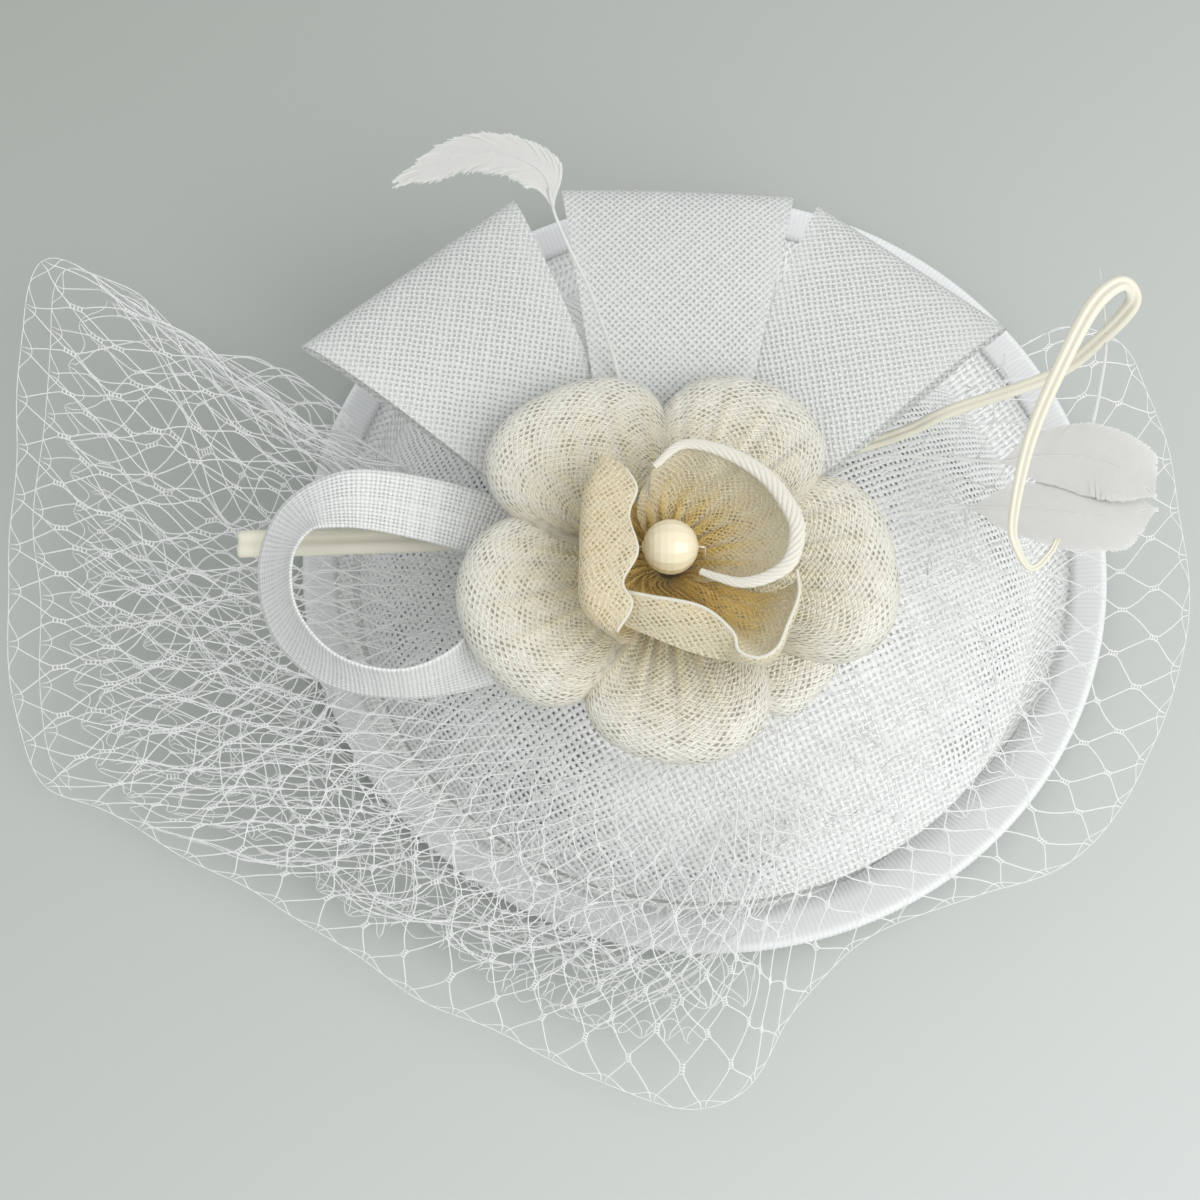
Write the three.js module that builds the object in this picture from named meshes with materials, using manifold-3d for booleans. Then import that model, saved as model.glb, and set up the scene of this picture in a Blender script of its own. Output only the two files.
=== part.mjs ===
// A fascinator headpiece: a round, shallow base of stiffened open-weave cloth that sits on
// the head on two sewn-in hair clips, trimmed with a cloth flower, three folded loops, a
// tape loop, a curled quill, feathers and a veil of wide-celled netting.
//
// Millimetres, +Z up, -Y towards the wearer's face. The pieces are laid out about the
// centre of the brim with the pressed crease of the base on z = 0. At the end the whole
// group moves sideways, so that the origin is the bottom centre of its bounding box.

import * as THREE from 'three';
import { LoftGeometry } from 'three/addons/geometries/LoftGeometry.js';
import { mergeVertices } from 'three/addons/utils/BufferGeometryUtils.js';
import Module from 'manifold-3d';

// ---------------------------------------------------------------- driving dimensions

const GAP = 0.4; // clear space between pieces that touch or are sewn together

// Base: a crown set a little off the centre of a brim whose edge turns up.
const CLOTH = 1.2; // two layers of stiffened cloth
const CROWN_X = -4;
const CROWN_Y = -3.5;
const CROWN_RADIUS = 82;
const CROWN_RISE = 43.8;
const CREASE_RADIUS = 88.6; // where the flat crease ends and the brim turns up
const BRIM_ANGLE = THREE.MathUtils.degToRad(25);
const BRIM_LENGTH = 10.2;
const ROUND_STEPS = 48;
const BAND_STRIPS = 3; // across the width of a loop or tape

// Binding folded over the brim edge, with the brim wire inside its fold.
const BINDING_START = 2.6; // from the crease, up the brim
const BINDING_THICKNESS = 0.5;
const WIRE_RADIUS = 0.6;

// Pad glued into the crown, and the two hair clips sewn to it.
const PAD_RADIUS = 31;
const PAD_FLOOR = 36.6;
const CLIP_SPACING = 26;
const CLIP_LENGTH = 46;
const CLIP_METAL = 0.8;
const PIVOT_X = 12;
const PIVOT_DROP = 3.4;
const PIN_RADIUS = 0.75;

// Trimmings, all gathered at the flower.
const FLOWER_X = -11;
const FLOWER_Y = -24.5;
const TRIM_DISC_RADIUS = 18;
const TRIM_DISC_FLOOR = 45.4;
const TRIM_DISC_THICKNESS = 1.2;
const BEAD_RADIUS = 6;
const BEAD_HEIGHT = 74;
const BORE_RADIUS = 1.1;
const THREAD_RADIUS = 0.25;
const LOOP_THICKNESS = 0.8;
const LOOP_REACH = 98;
const TAPE_WIDTH = 15.5;
const TAPE_THICKNESS = 0.8;
const VEIL_THICKNESS = 0.4;
const VEIL_GATHER_RADIUS = 20;

// ---------------------------------------------------------------- materials

function material(color, roughness, metalness = 0) {
  return new THREE.MeshStandardMaterial({ color, roughness, metalness });
}

const baseCloth = material('#eceeea', 0.55);
const bindingRibbon = material('#eef3f7', 0.6);
const steelWire = material('#a9adb2', 0.4, 1);
const whiteFelt = material('#e6e6e2', 0.95);
const clipSteel = material('#c3c6ca', 0.3, 1);
const loopCloth = material('#f4f5f3', 0.5);
const tapeCloth = material('#f5f6f5', 0.55);
const netting = material('#f7f8f8', 0.5);
const quillHorn = material('#f0ead0', 0.4);
const featherWhite = material('#f6f6f3', 0.8);
const petalCloth = material('#f3e8c9', 0.45);
const pearl = material('#f3e6c4', 0.2);
const sewingThread = material('#efe6c8', 0.7);

// ---------------------------------------------------------------- shape helpers

const model = new THREE.Group();

function add(name, geometry, look, parent = model) {
  const mesh = new THREE.Mesh(geometry, look);
  mesh.name = name;
  parent.add(mesh);
  return mesh;
}

function circle(x, y, radius, z, steps = ROUND_STEPS) {
  const points = [];
  for (let i = 0; i < steps; i += 1) {
    const turn = (2 * Math.PI * i) / steps;
    points.push(new THREE.Vector3(x + radius * Math.cos(turn), y + radius * Math.sin(turn), z));
  }
  return points;
}

// A closed body through rings of points; an end that shrinks to one point has no cap.
function loft(sections, capStart = true, capEnd = true) {
  return new LoftGeometry(sections, { closed: true, capStart, capEnd });
}

// A smooth curve through hand-placed [x, y, z] points.
function route(points) {
  return new THREE.CatmullRomCurve3(points.map(([x, y, z]) => new THREE.Vector3(x, y, z)));
}

// Straight-line interpolation in a list of [position, value] pairs.
function along(table, position) {
  let k = 1;
  while (k < table.length - 1 && position > table[k][0]) k += 1;
  const [x0, y0] = table[k - 1];
  const [x1, y1] = table[k];
  return THREE.MathUtils.clamp((position - x0) / (x1 - x0), 0, 1) * (y1 - y0) + y0;
}

// A flat band: centres is a list of points, acrosses the direction of its width at each. Its
// faces are cut into strips lengthways, so that a twisted band keeps its thickness.
function band(centres, acrosses, widths, thickness) {
  const sections = centres.map((centre, i) => {
    const before = centres[Math.max(i - 1, 0)];
    const after = centres[Math.min(i + 1, centres.length - 1)];
    const forward = after.clone().sub(before).normalize();
    const across = acrosses[i].clone().addScaledVector(forward, -acrosses[i].dot(forward)).normalize();
    const face = forward.clone().cross(across);
    const corner = (a, b) => centre.clone()
      .addScaledVector(across, (a * widths[i]) / 2)
      .addScaledVector(face, (b * thickness) / 2);
    const lower = [];
    const upper = [];
    for (let k = 0; k <= BAND_STRIPS; k += 1) {
      const a = (2 * k) / BAND_STRIPS - 1;
      lower.push(corner(a, -1));
      upper.push(corner(a, 1));
    }
    return [...lower, ...upper.reverse()];
  });
  return loft(sections);
}

// A thin closed solid on both sides of pointAt(s, t), where s crossed with t points up.
function slab(pointAt, thickness, columns, rows) {
  const positions = [];
  const faces = [];
  const count = (columns + 1) * (rows + 1);
  for (const side of [0.5, -0.5]) {
    for (let i = 0; i <= columns; i += 1) {
      for (let j = 0; j <= rows; j += 1) {
        const point = pointAt(i / columns, j / rows);
        positions.push(point.x, point.y, point.z + side * thickness);
      }
    }
  }
  const quad = (a, b, c, d) => faces.push(a, b, c, a, c, d);
  const at = (i, j) => i * (rows + 1) + j;
  for (let i = 0; i < columns; i += 1) {
    for (let j = 0; j < rows; j += 1) {
      const corners = [at(i, j), at(i + 1, j), at(i + 1, j + 1), at(i, j + 1)];
      quad(...corners);
      quad(...corners.reverse().map((corner) => corner + count));
    }
  }
  const edge = (a, b) => quad(a, a + count, b + count, b);
  for (let i = 0; i < columns; i += 1) {
    edge(at(i, 0), at(i + 1, 0));
    edge(at(i + 1, rows), at(i, rows));
  }
  for (let j = 0; j < rows; j += 1) {
    edge(at(columns, j), at(columns, j + 1));
    edge(at(0, j + 1), at(0, j));
  }
  const geometry = new THREE.BufferGeometry();
  geometry.setAttribute('position', new THREE.Float32BufferAttribute(positions, 3));
  geometry.setIndex(faces);
  return geometry;
}

// A tapering round or oval rod along a curve; radii at(s) gives [half width, half height].
function rod(curve, at, steps, sides = 8) {
  const up = new THREE.Vector3(0, 0, 1);
  const sections = [];
  for (let i = 0; i <= steps; i += 1) {
    const s = i / steps;
    const forward = curve.getTangentAt(s);
    const across = up.clone().cross(forward).normalize();
    const over = forward.clone().cross(across);
    const [halfWidth, halfHeight] = at(s);
    const ring = [];
    for (let k = 0; k < sides; k += 1) {
      const turn = (2 * Math.PI * (k + 0.5)) / sides;
      ring.push(curve.getPointAt(s)
        .addScaledVector(across, halfWidth * Math.cos(turn))
        .addScaledVector(over, halfHeight * Math.sin(turn)));
    }
    sections.push(ring);
  }
  return loft(sections);
}

// ---------------------------------------------------------------- manifold joins

const wasm = await Module();
wasm.setup();

function solid(geometry) {
  const plain = geometry.clone();
  plain.deleteAttribute('normal');
  plain.deleteAttribute('uv');
  const merged = mergeVertices(plain);
  const vertProperties = new Float32Array(merged.attributes.position.array);
  const triVerts = new Uint32Array(merged.index.array);
  return new wasm.Manifold(new wasm.Mesh({ numProp: 3, vertProperties, triVerts }));
}

function joined(...geometries) {
  const mesh = geometries.map(solid).reduce((whole, piece) => whole.add(piece)).getMesh();
  const geometry = new THREE.BufferGeometry();
  geometry.setAttribute('position', new THREE.BufferAttribute(mesh.vertProperties, mesh.numProp));
  geometry.setIndex(new THREE.BufferAttribute(mesh.triVerts, 1));
  return geometry;
}

// ---------------------------------------------------------------- base

const SPHERE = (CROWN_RADIUS ** 2 + CROWN_RISE ** 2) / (2 * CROWN_RISE); // crown's outer curve
const SPHERE_Z = CLOTH + CROWN_RISE - SPHERE;

// Height of the crown's outer face above the table, over the point x, y.
function crownHeight(x, y) {
  const distance = Math.hypot(x - CROWN_X, y - CROWN_Y);
  return SPHERE_Z + Math.sqrt(Math.max(SPHERE ** 2 - distance ** 2, 0));
}

// Rings of a spherical cap about the crown's axis, from its middle out to the given height.
function capRings(sphereRadius, lowestZ, steps) {
  const limit = Math.acos((lowestZ - SPHERE_Z) / sphereRadius);
  const rings = [];
  for (let i = 0; i <= steps; i += 1) {
    const angle = (limit * i) / steps;
    const z = SPHERE_Z + sphereRadius * Math.cos(angle);
    rings.push(circle(CROWN_X, CROWN_Y, sphereRadius * Math.sin(angle), z));
  }
  return rings;
}

// A point of the turned-up brim: s up its slope from the crease, n out from its underside.
function brimPoint(s, n) {
  return [
    CREASE_RADIUS + s * Math.cos(BRIM_ANGLE) - n * Math.sin(BRIM_ANGLE),
    s * Math.sin(BRIM_ANGLE) + n * Math.cos(BRIM_ANGLE),
  ];
}

function baseDome() {
  const steps = 8;
  const bend = CLOTH * Math.tan(BRIM_ANGLE / 2);
  const under = capRings(SPHERE - CLOTH, 0, steps);
  const over = capRings(SPHERE, CLOTH, steps);
  const brim = [brimPoint(BRIM_LENGTH, 0), brimPoint(BRIM_LENGTH, CLOTH)];
  return loft([
    ...under,
    circle(0, 0, CREASE_RADIUS, 0),
    ...brim.map(([radius, z]) => circle(0, 0, radius, z)),
    circle(0, 0, CREASE_RADIUS - bend, CLOTH),
    ...over.reverse(),
  ], false, false);
}

// A ring swept about the brim's axis from closed [radius, z] outlines.
function ringSweep(outline) {
  const closed = [...outline, outline[0]].map(([radius, z]) => new THREE.Vector2(radius, z));
  return new THREE.LatheGeometry(closed, ROUND_STEPS).rotateX(Math.PI / 2);
}

function rimBinding() {
  const middle = CLOTH / 2;
  const inner = middle + GAP;
  const outer = inner + BINDING_THICKNESS;
  const fold = BRIM_LENGTH + GAP + WIRE_RADIUS;
  const nose = (radius, from, to) => {
    const points = [];
    for (let k = 0; k <= 4; k += 1) {
      const turn = from + ((to - from) * k) / 4;
      points.push(brimPoint(fold + radius * Math.cos(turn), middle + radius * Math.sin(turn)));
    }
    return points;
  };
  return ringSweep([
    brimPoint(BINDING_START, middle - outer),
    ...nose(outer, -Math.PI / 2, Math.PI / 2),
    brimPoint(BINDING_START, middle + outer),
    brimPoint(BINDING_START, middle + inner),
    ...nose(inner, Math.PI / 2, -Math.PI / 2),
    brimPoint(BINDING_START, middle - inner),
  ]);
}

function brimWire() {
  const [radius, z] = brimPoint(BRIM_LENGTH + GAP + WIRE_RADIUS, CLOTH / 2);
  return new THREE.TorusGeometry(radius, WIRE_RADIUS, 6, ROUND_STEPS).translate(0, 0, z);
}

// Felt pad: its top follows the inside of the crown, its floor is flat.
function feltPad() {
  const sphereRadius = SPHERE - CLOTH - 1.5 * GAP;
  const edgeZ = SPHERE_Z + Math.sqrt(sphereRadius ** 2 - PAD_RADIUS ** 2);
  const top = capRings(sphereRadius, edgeZ, 3);
  return loft([circle(CROWN_X, CROWN_Y, PAD_RADIUS, PAD_FLOOR), ...top.reverse()], true, false);
}

add('base_dome', baseDome(), baseCloth);
add('rim_binding', rimBinding(), bindingRibbon);
add('brim_wire', brimWire(), steelWire);
add('felt_pad', feltPad(), whiteFelt);

// ---------------------------------------------------------------- hair clips

// A plate in the clip's side view (x along the clip, z up), from one y to another.
function sidePlate(outline, fromY, toY, holeRadius = 0) {
  const shape = new THREE.Shape(outline.map(([x, z]) => new THREE.Vector2(x, z)));
  if (holeRadius > 0) {
    const hole = new THREE.Path();
    hole.absarc(PIVOT_X, -PIVOT_DROP, holeRadius, 0, 2 * Math.PI, true);
    shape.holes.push(hole);
  }
  const settings = { depth: toY - fromY, bevelEnabled: false, curveSegments: 6 };
  return new THREE.ExtrudeGeometry(shape, settings).rotateX(Math.PI / 2).translate(0, toY, 0);
}

const HOLE_RADIUS = PIN_RADIUS + GAP;
const PLATE_EAR = [3.6, 4.2]; // inner and outer face of the plate's ears
const LEVER_EAR = [2.6, 3.2]; // the lever's ears fit between them
const SPRING_HALF = 2.2;

// Fixed jaw, sewn flat to the pad, with two ears that hold the pivot pin.
function clipPlate() {
  const half = CLIP_LENGTH / 2;
  const strip = [[-half, 0], [half - 6, 0], [half - 6, CLIP_METAL], [-half, CLIP_METAL]];
  const ear = [[PIVOT_X - 3, 0.4], [PIVOT_X - 2, -5], [PIVOT_X + 2, -5], [PIVOT_X + 3, 0.4]];
  return joined(
    sidePlate(strip, -PLATE_EAR[1], PLATE_EAR[1]),
    sidePlate(ear, PLATE_EAR[0], PLATE_EAR[1], HOLE_RADIUS),
    sidePlate(ear, -PLATE_EAR[1], -PLATE_EAR[0], HOLE_RADIUS),
  );
}

// Moving jaw: a bent strip, closed against the plate at its tip and flared at the thumb end.
function clipLever() {
  const half = CLIP_LENGTH / 2;
  const upper = [[-half, -0.5], [4, -5.4], [14, -5.9], [half, -9.5]];
  const lower = [[half - 0.3, -10.3], [13.8, -6.7], [3.9, -6.2], [-half, -1.3]];
  const ear = [[8.5, -6.3], [15.5, -6.6], [14, -2.2], [10, -2.2]];
  return joined(
    sidePlate([...lower.reverse(), ...upper.reverse()], -LEVER_EAR[1], LEVER_EAR[1]),
    sidePlate(ear, LEVER_EAR[0], LEVER_EAR[1], HOLE_RADIUS),
    sidePlate(ear, -LEVER_EAR[1], -LEVER_EAR[0], HOLE_RADIUS),
  );
}

function clipPin() {
  const length = 2 * PLATE_EAR[1] + 0.8;
  return new THREE.CylinderGeometry(PIN_RADIUS, PIN_RADIUS, length, 12)
    .translate(PIVOT_X, 0, -PIVOT_DROP);
}

// The coil of the torsion spring around the pin.
function clipSpring() {
  const inner = HOLE_RADIUS;
  const outer = inner + CLIP_METAL;
  const outline = [[inner, -1], [outer, -1], [outer, 1], [inner, 1], [inner, -1]];
  const points = outline.map(([radius, end]) => new THREE.Vector2(radius, end * SPRING_HALF));
  return new THREE.LatheGeometry(points, 12).translate(PIVOT_X, 0, -PIVOT_DROP);
}

function hairClip(place, y) {
  const clip = new THREE.Group();
  clip.position.set(CROWN_X, y, PAD_FLOOR - GAP - CLIP_METAL);
  add(`hair_clip_${place}_plate`, clipPlate(), clipSteel, clip);
  add(`hair_clip_${place}_lever`, clipLever(), clipSteel, clip);
  add(`hair_clip_${place}_pin`, clipPin(), steelWire, clip);
  add(`hair_clip_${place}_spring`, clipSpring(), steelWire, clip);
  model.add(clip);
}

hairClip('front', CROWN_Y - CLIP_SPACING / 2);
hairClip('back', CROWN_Y + CLIP_SPACING / 2);

// ---------------------------------------------------------------- trimming foundation

function trimDisc() {
  return new THREE.CylinderGeometry(TRIM_DISC_RADIUS, TRIM_DISC_RADIUS, TRIM_DISC_THICKNESS, 32)
    .rotateX(Math.PI / 2)
    .translate(FLOWER_X, FLOWER_Y, TRIM_DISC_FLOOR + TRIM_DISC_THICKNESS / 2);
}

add('trim_disc', trimDisc(), whiteFelt);

// A point at a distance and bearing (degrees, counterclockwise from +X) from the flower.
function fromFlower(distance, bearing, z) {
  const turn = THREE.MathUtils.degToRad(bearing);
  return new THREE.Vector3(
    FLOWER_X + distance * Math.cos(turn),
    FLOWER_Y + distance * Math.sin(turn),
    z,
  );
}

// ---------------------------------------------------------------- folded loops

// Side view of every loop, [distance from the flower, z]: out below, round the fold, back above.
const LOOP_SIDE = [
  [12, 51.6], [40, 50.8], [70, 49.5], [90, 50.5], [LOOP_REACH - 1.5, 55],
  [90, 59.5], [70, 60], [40, 55], [12, 53],
];

function foldedLoop(bearing, halfWidths) {
  const side = route(LOOP_SIDE.map(([distance, z]) => fromFlower(distance, bearing, z).toArray()));
  const steps = 28;
  const centres = side.getSpacedPoints(steps);
  const across = fromFlower(1, bearing + 90, 0).sub(fromFlower(0, 0, 0));
  const widths = centres.map((centre) => {
    const distance = Math.hypot(centre.x - FLOWER_X, centre.y - FLOWER_Y);
    return 2 * along(halfWidths, distance);
  });
  return band(centres, centres.map(() => across), widths, LOOP_THICKNESS);
}

const LOOPS = [
  { place: 'left', bearing: 128.4, halfWidths: [[12, 3.2], [45, 15.5], [LOOP_REACH, 31.3]] },
  { place: 'middle', bearing: 88, halfWidths: [[12, 3.8], [45, 14], [LOOP_REACH, 28]] },
  { place: 'right', bearing: 53, halfWidths: [[12, 3.2], [45, 11.5], [LOOP_REACH, 27]] },
];

for (const { place, bearing, halfWidths } of LOOPS) {
  add(`loop_${place}`, foldedLoop(bearing, halfWidths), loopCloth);
}

// ---------------------------------------------------------------- tape loop

// Centre of the tape, and the direction from its inner edge to its outer edge.
const TAPE_ROUTE = [
  { at: [-39, -17.5, 50.8], across: [0.1, 1, 0] },
  { at: [-53, -11, 52.6], across: [0, 1, 0] },
  { at: [-70, -8, 57], across: [0, 1, -0.1] },
  { at: [-83, -7.5, 59], across: [-0.15, 0.95, -0.25] },
  { at: [-93, -11, 58], across: [-0.6, 0.55, -0.6] },
  { at: [-98, -21, 56], across: [-0.62, 0.1, -0.78] },
  { at: [-95.5, -34, 54.5], across: [-0.5, -0.25, -0.83] },
  { at: [-85, -43.5, 53.5], across: [-0.3, -0.4, -0.87] },
  { at: [-70, -45.5, 53.5], across: [-0.05, -0.4, -0.9] },
  { at: [-57, -42, 52.5], across: [0.1, -0.7, -0.7] },
  { at: [-45, -36, 50.6], across: [0.3, -0.95, 0] },
];

function tapeLoop() {
  const steps = 64;
  const centres = route(TAPE_ROUTE.map((stop) => stop.at)).getPoints(steps);
  const acrosses = route(TAPE_ROUTE.map((stop) => stop.across)).getPoints(steps);
  return band(centres, acrosses, centres.map(() => TAPE_WIDTH), TAPE_THICKNESS);
}

add('tape_loop', tapeLoop(), tapeCloth);

// ---------------------------------------------------------------- quill and feathers

// One stripped ostrich quill: under the flower from end to end, curled at the thin end.
const QUILL_ROUTE = [
  [-108.5, -13, 45], [-83, -12.7, 46], [-57, -12, 47.5], [-34, -7.5, 47.8], [-11, -1.2, 47.4],
  [12, 5, 47.4], [34, 10.2, 47.5], [45, 12.7, 50.8], [54, 15.3, 56], [75.5, 20.7, 63],
  [85, 25.7, 71], [91, 31, 78.5], [88, 33.5, 83], [81.5, 28.5, 83], [74, 15.5, 81],
  [66.3, -1.5, 78], [62.3, -18.4, 74], [63.5, -24.5, 71.5], [66.5, -28, 70],
  [70.6, -24.5, 70], [72.3, -21.5, 71],
];
const QUILL_HALF_WIDTHS = [[0, 2.95], [0.35, 2.8], [0.6, 1.7], [0.8, 1.1], [1, 0.5]];

function quill() {
  return rod(route(QUILL_ROUTE), (s) => {
    const halfWidth = along(QUILL_HALF_WIDTHS, s);
    return [halfWidth, Math.max(halfWidth * 0.5, 0.5)];
  }, 56);
}

function shaft(points, rootRadius, tipRadius) {
  return rod(route(points), (s) => {
    const radius = rootRadius + (tipRadius - rootRadius) * s;
    return [radius, radius];
  }, 14, 6);
}

// The webbed part of a feather: a thin leaf on both sides of a route.
function vane(points, halfWidths, thickness = 0.4) {
  const spine = route(points);
  const up = new THREE.Vector3(0, 0, 1);
  return slab((s, t) => {
    const left = up.clone().cross(spine.getTangentAt(s)).normalize();
    const offset = (2 * t - 1) * along(halfWidths, s);
    return spine.getPointAt(s).addScaledVector(left, offset);
  }, thickness, 12, 2);
}

add('quill', quill(), quillHorn);
add('flag_feather_shaft', shaft([
  [-17.5, 5, 57], [-20.5, 18, 57.2], [-23, 26.5, 61], [-26, 30.5, 72], [-28.5, 33.5, 81],
  [-32.5, 38, 90], [-35.6, 43.2, 95.5],
], 0.6, 0.35), featherWhite);
add('flag_feather_vane', vane([
  [-36, 45, 96.8], [-38.5, 52, 99], [-46, 56.5, 99.2], [-57, 57.5, 98.5], [-67.5, 53, 97],
], [[0, 0.8], [0.2, 4.5], [0.7, 4.2], [1, 2]]), featherWhite);
add('side_feather_back_shaft', shaft([
  [15, -5.5, 51.6], [35.5, 4.5, 52.6], [51, 4, 54.8], [62.6, 2.3, 57],
], 0.5, 0.3), featherWhite);
add('side_feather_back_vane', vane([
  [64.1, 2.1, 57.4], [72.7, 2.9, 59.4], [83.2, 1.8, 62], [90.3, -1, 63.5], [95.4, -5.5, 64],
], [[0, 0.6], [0.3, 5], [0.7, 6.5], [1, 3]]), featherWhite);
add('side_feather_front_shaft', shaft([
  [12, -21, 50.4], [37, -9.5, 51.2], [47, -8, 52.6], [55, -7.8, 54.4],
], 0.5, 0.3), featherWhite);
add('side_feather_front_vane', vane([
  [56.6, -7.8, 54.8], [65.6, -8.9, 57], [76.2, -10.6, 59], [85.7, -11.9, 60.5], [94.5, -11.3, 61],
], [[0, 0.6], [0.3, 4.5], [0.7, 6], [1, 3]]), featherWhite);

// ---------------------------------------------------------------- veil

// Outer edge of the netting, from behind the left loop round the front to the right.
const VEIL_EDGE = route([
  [-124, 54, 30], [-166, 69, 28], [-170, 25, 20], [-169, -25, 11], [-161, -57, 8],
  [-143, -69, 8], [-96, -92, 8], [-56, -115, 8], [-17, -133, 8], [6, -133, 9],
  [22, -112, 14], [60, -98, 18], [91, -82, 20], [112, -48, 22], [114, -15, 26],
  [106, 22, 29], [97, 41, 32], [80, 40, 34],
]);

// Bearings of the gathered edge at the flower, in step with the outer edge.
const VEIL_BEARINGS = [[0, 150], [0.28, 195], [0.5, 260], [0.7, 305], [1, 392]];

// One layer: reach is how much of the way to the outer edge it goes, drop its depth there.
function veilLayer(from, to, reach, lift, drop, puff) {
  return slab((s, t) => {
    const u = from + (to - from) * t;
    const root = fromFlower(VEIL_GATHER_RADIUS, along(VEIL_BEARINGS, u), 0);
    root.z = crownHeight(root.x, root.y) + lift;
    const point = root.lerp(VEIL_EDGE.getPointAt(u), s * reach);
    point.z += puff * Math.sin(Math.PI * s * reach) - drop * s;
    return point;
  }, VEIL_THICKNESS, 8, Math.round(42 * (to - from)));
}

add('veil_upper', veilLayer(0, 1, 1, 1.9, 0, 4), netting);
add('veil_lower_left', veilLayer(0.06, 0.42, 0.96, 0.9, 4, 3), netting);
add('veil_lower_front', veilLayer(0.44, 0.86, 0.7, 0.9, 4, 3), netting);

// ---------------------------------------------------------------- flower

// A cosine or sine flattened towards +1 and -1, which squares an oval's corners a little.
function squared(value) {
  return Math.sign(value) * Math.abs(value) ** 0.65;
}

// A stuffed-looking petal: a squared oval in distance and bearing about the flower's centre.
function petal({ bearing, spread, near, far, floor, top }) {
  const levels = 6;
  const points = 16;
  const middle = (near + far) / 2;
  const sections = [];
  for (let k = 0; k <= levels; k += 1) {
    const lift = Math.PI * (0.14 + (0.72 * k) / levels);
    const scale = Math.sin(lift);
    const z = (floor + top) / 2 - ((top - floor) / 2) * (Math.cos(lift) / Math.cos(0.14 * Math.PI));
    const ring = [];
    for (let i = 0; i < points; i += 1) {
      const turn = (2 * Math.PI * i) / points;
      const distance = middle + ((far - near) / 2) * scale * squared(Math.cos(turn));
      ring.push(fromFlower(distance, bearing + spread * scale * squared(Math.sin(turn)), z));
    }
    sections.push(ring);
  }
  return loft(sections);
}

const OUTER_PETALS = [
  { place: 'back_left', bearing: 122, spread: 30.5, near: 9, far: 50, floor: 59, top: 68.5 },
  { place: 'back_right', bearing: 57.5, spread: 30.5, near: 9, far: 49, floor: 59, top: 68.5 },
  { place: 'right', bearing: 4, spread: 20, near: 9, far: 50.5, floor: 52.8, top: 67 },
  { place: 'front_right', bearing: -34, spread: 15, near: 9, far: 42, floor: 52.8, top: 63 },
  { place: 'front', bearing: -88, spread: 35, near: 9, far: 43, floor: 52.8, top: 65 },
  { place: 'left', bearing: 192, spread: 36, near: 9, far: 46, floor: 52.8, top: 67 },
];

const INNER_PETALS = [
  { place: 'left', bearing: 175, spread: 56, near: 9, far: 23, floor: 69.4, top: 80 },
  { place: 'right', bearing: 41, spread: 56, near: 9, far: 31, floor: 69.4, top: 80 },
  { place: 'front', bearing: -73, spread: 51, near: 9, far: 27, floor: 69.4, top: 79 },
];

for (const shape of OUTER_PETALS) add(`outer_petal_${shape.place}`, petal(shape), petalCloth);
for (const shape of INNER_PETALS) add(`inner_petal_${shape.place}`, petal(shape), petalCloth);

// Pearl bead with its bore along X, held down by a thread through the bore.
function bead() {
  const opening = Math.asin(BORE_RADIUS / BEAD_RADIUS);
  const steps = 12;
  const points = [];
  for (let k = 0; k <= steps; k += 1) {
    const angle = opening + ((Math.PI - 2 * opening) * k) / steps;
    points.push(new THREE.Vector2(BEAD_RADIUS * Math.sin(angle), -BEAD_RADIUS * Math.cos(angle)));
  }
  points.push(points[0].clone());
  return new THREE.LatheGeometry(points, 16)
    .rotateZ(Math.PI / 2)
    .translate(FLOWER_X, FLOWER_Y, BEAD_HEIGHT);
}

function beadThread() {
  const foot = TRIM_DISC_FLOOR + TRIM_DISC_THICKNESS + GAP;
  const half = [[0, BEAD_HEIGHT], [6.4, BEAD_HEIGHT], [7.4, BEAD_HEIGHT - 2.5], [7, 62], [3, foot]];
  const left = half.slice(1).reverse().map(([x, z]) => [-x, z]);
  const path = route([...left, ...half].map(([x, z]) => [FLOWER_X + x, FLOWER_Y, z]));
  const section = new THREE.Shape().absarc(0, 0, THREAD_RADIUS, 0, 2 * Math.PI);
  const settings = { steps: 28, extrudePath: path, curveSegments: 3 };
  return new THREE.ExtrudeGeometry(section, settings);
}

add('pearl_bead', bead(), pearl);
add('bead_thread', beadThread(), sewingThread);

// ---------------------------------------------------------------- origin

const bounds = new THREE.Box3().setFromObject(model);
const middle = bounds.getCenter(new THREE.Vector3());
model.position.set(-middle.x, -middle.y, -bounds.min.z);

export default model;
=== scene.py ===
# The looks of a fascinator headpiece: woven cloth, ribbon, netting, feathers, quill, flower and
# pearl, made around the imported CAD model. Shapes are laid out in millimetres about the centre of
# the brim, with the table at z = 0, as in the CAD; placed() turns them into metres in its frame.

import math

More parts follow.
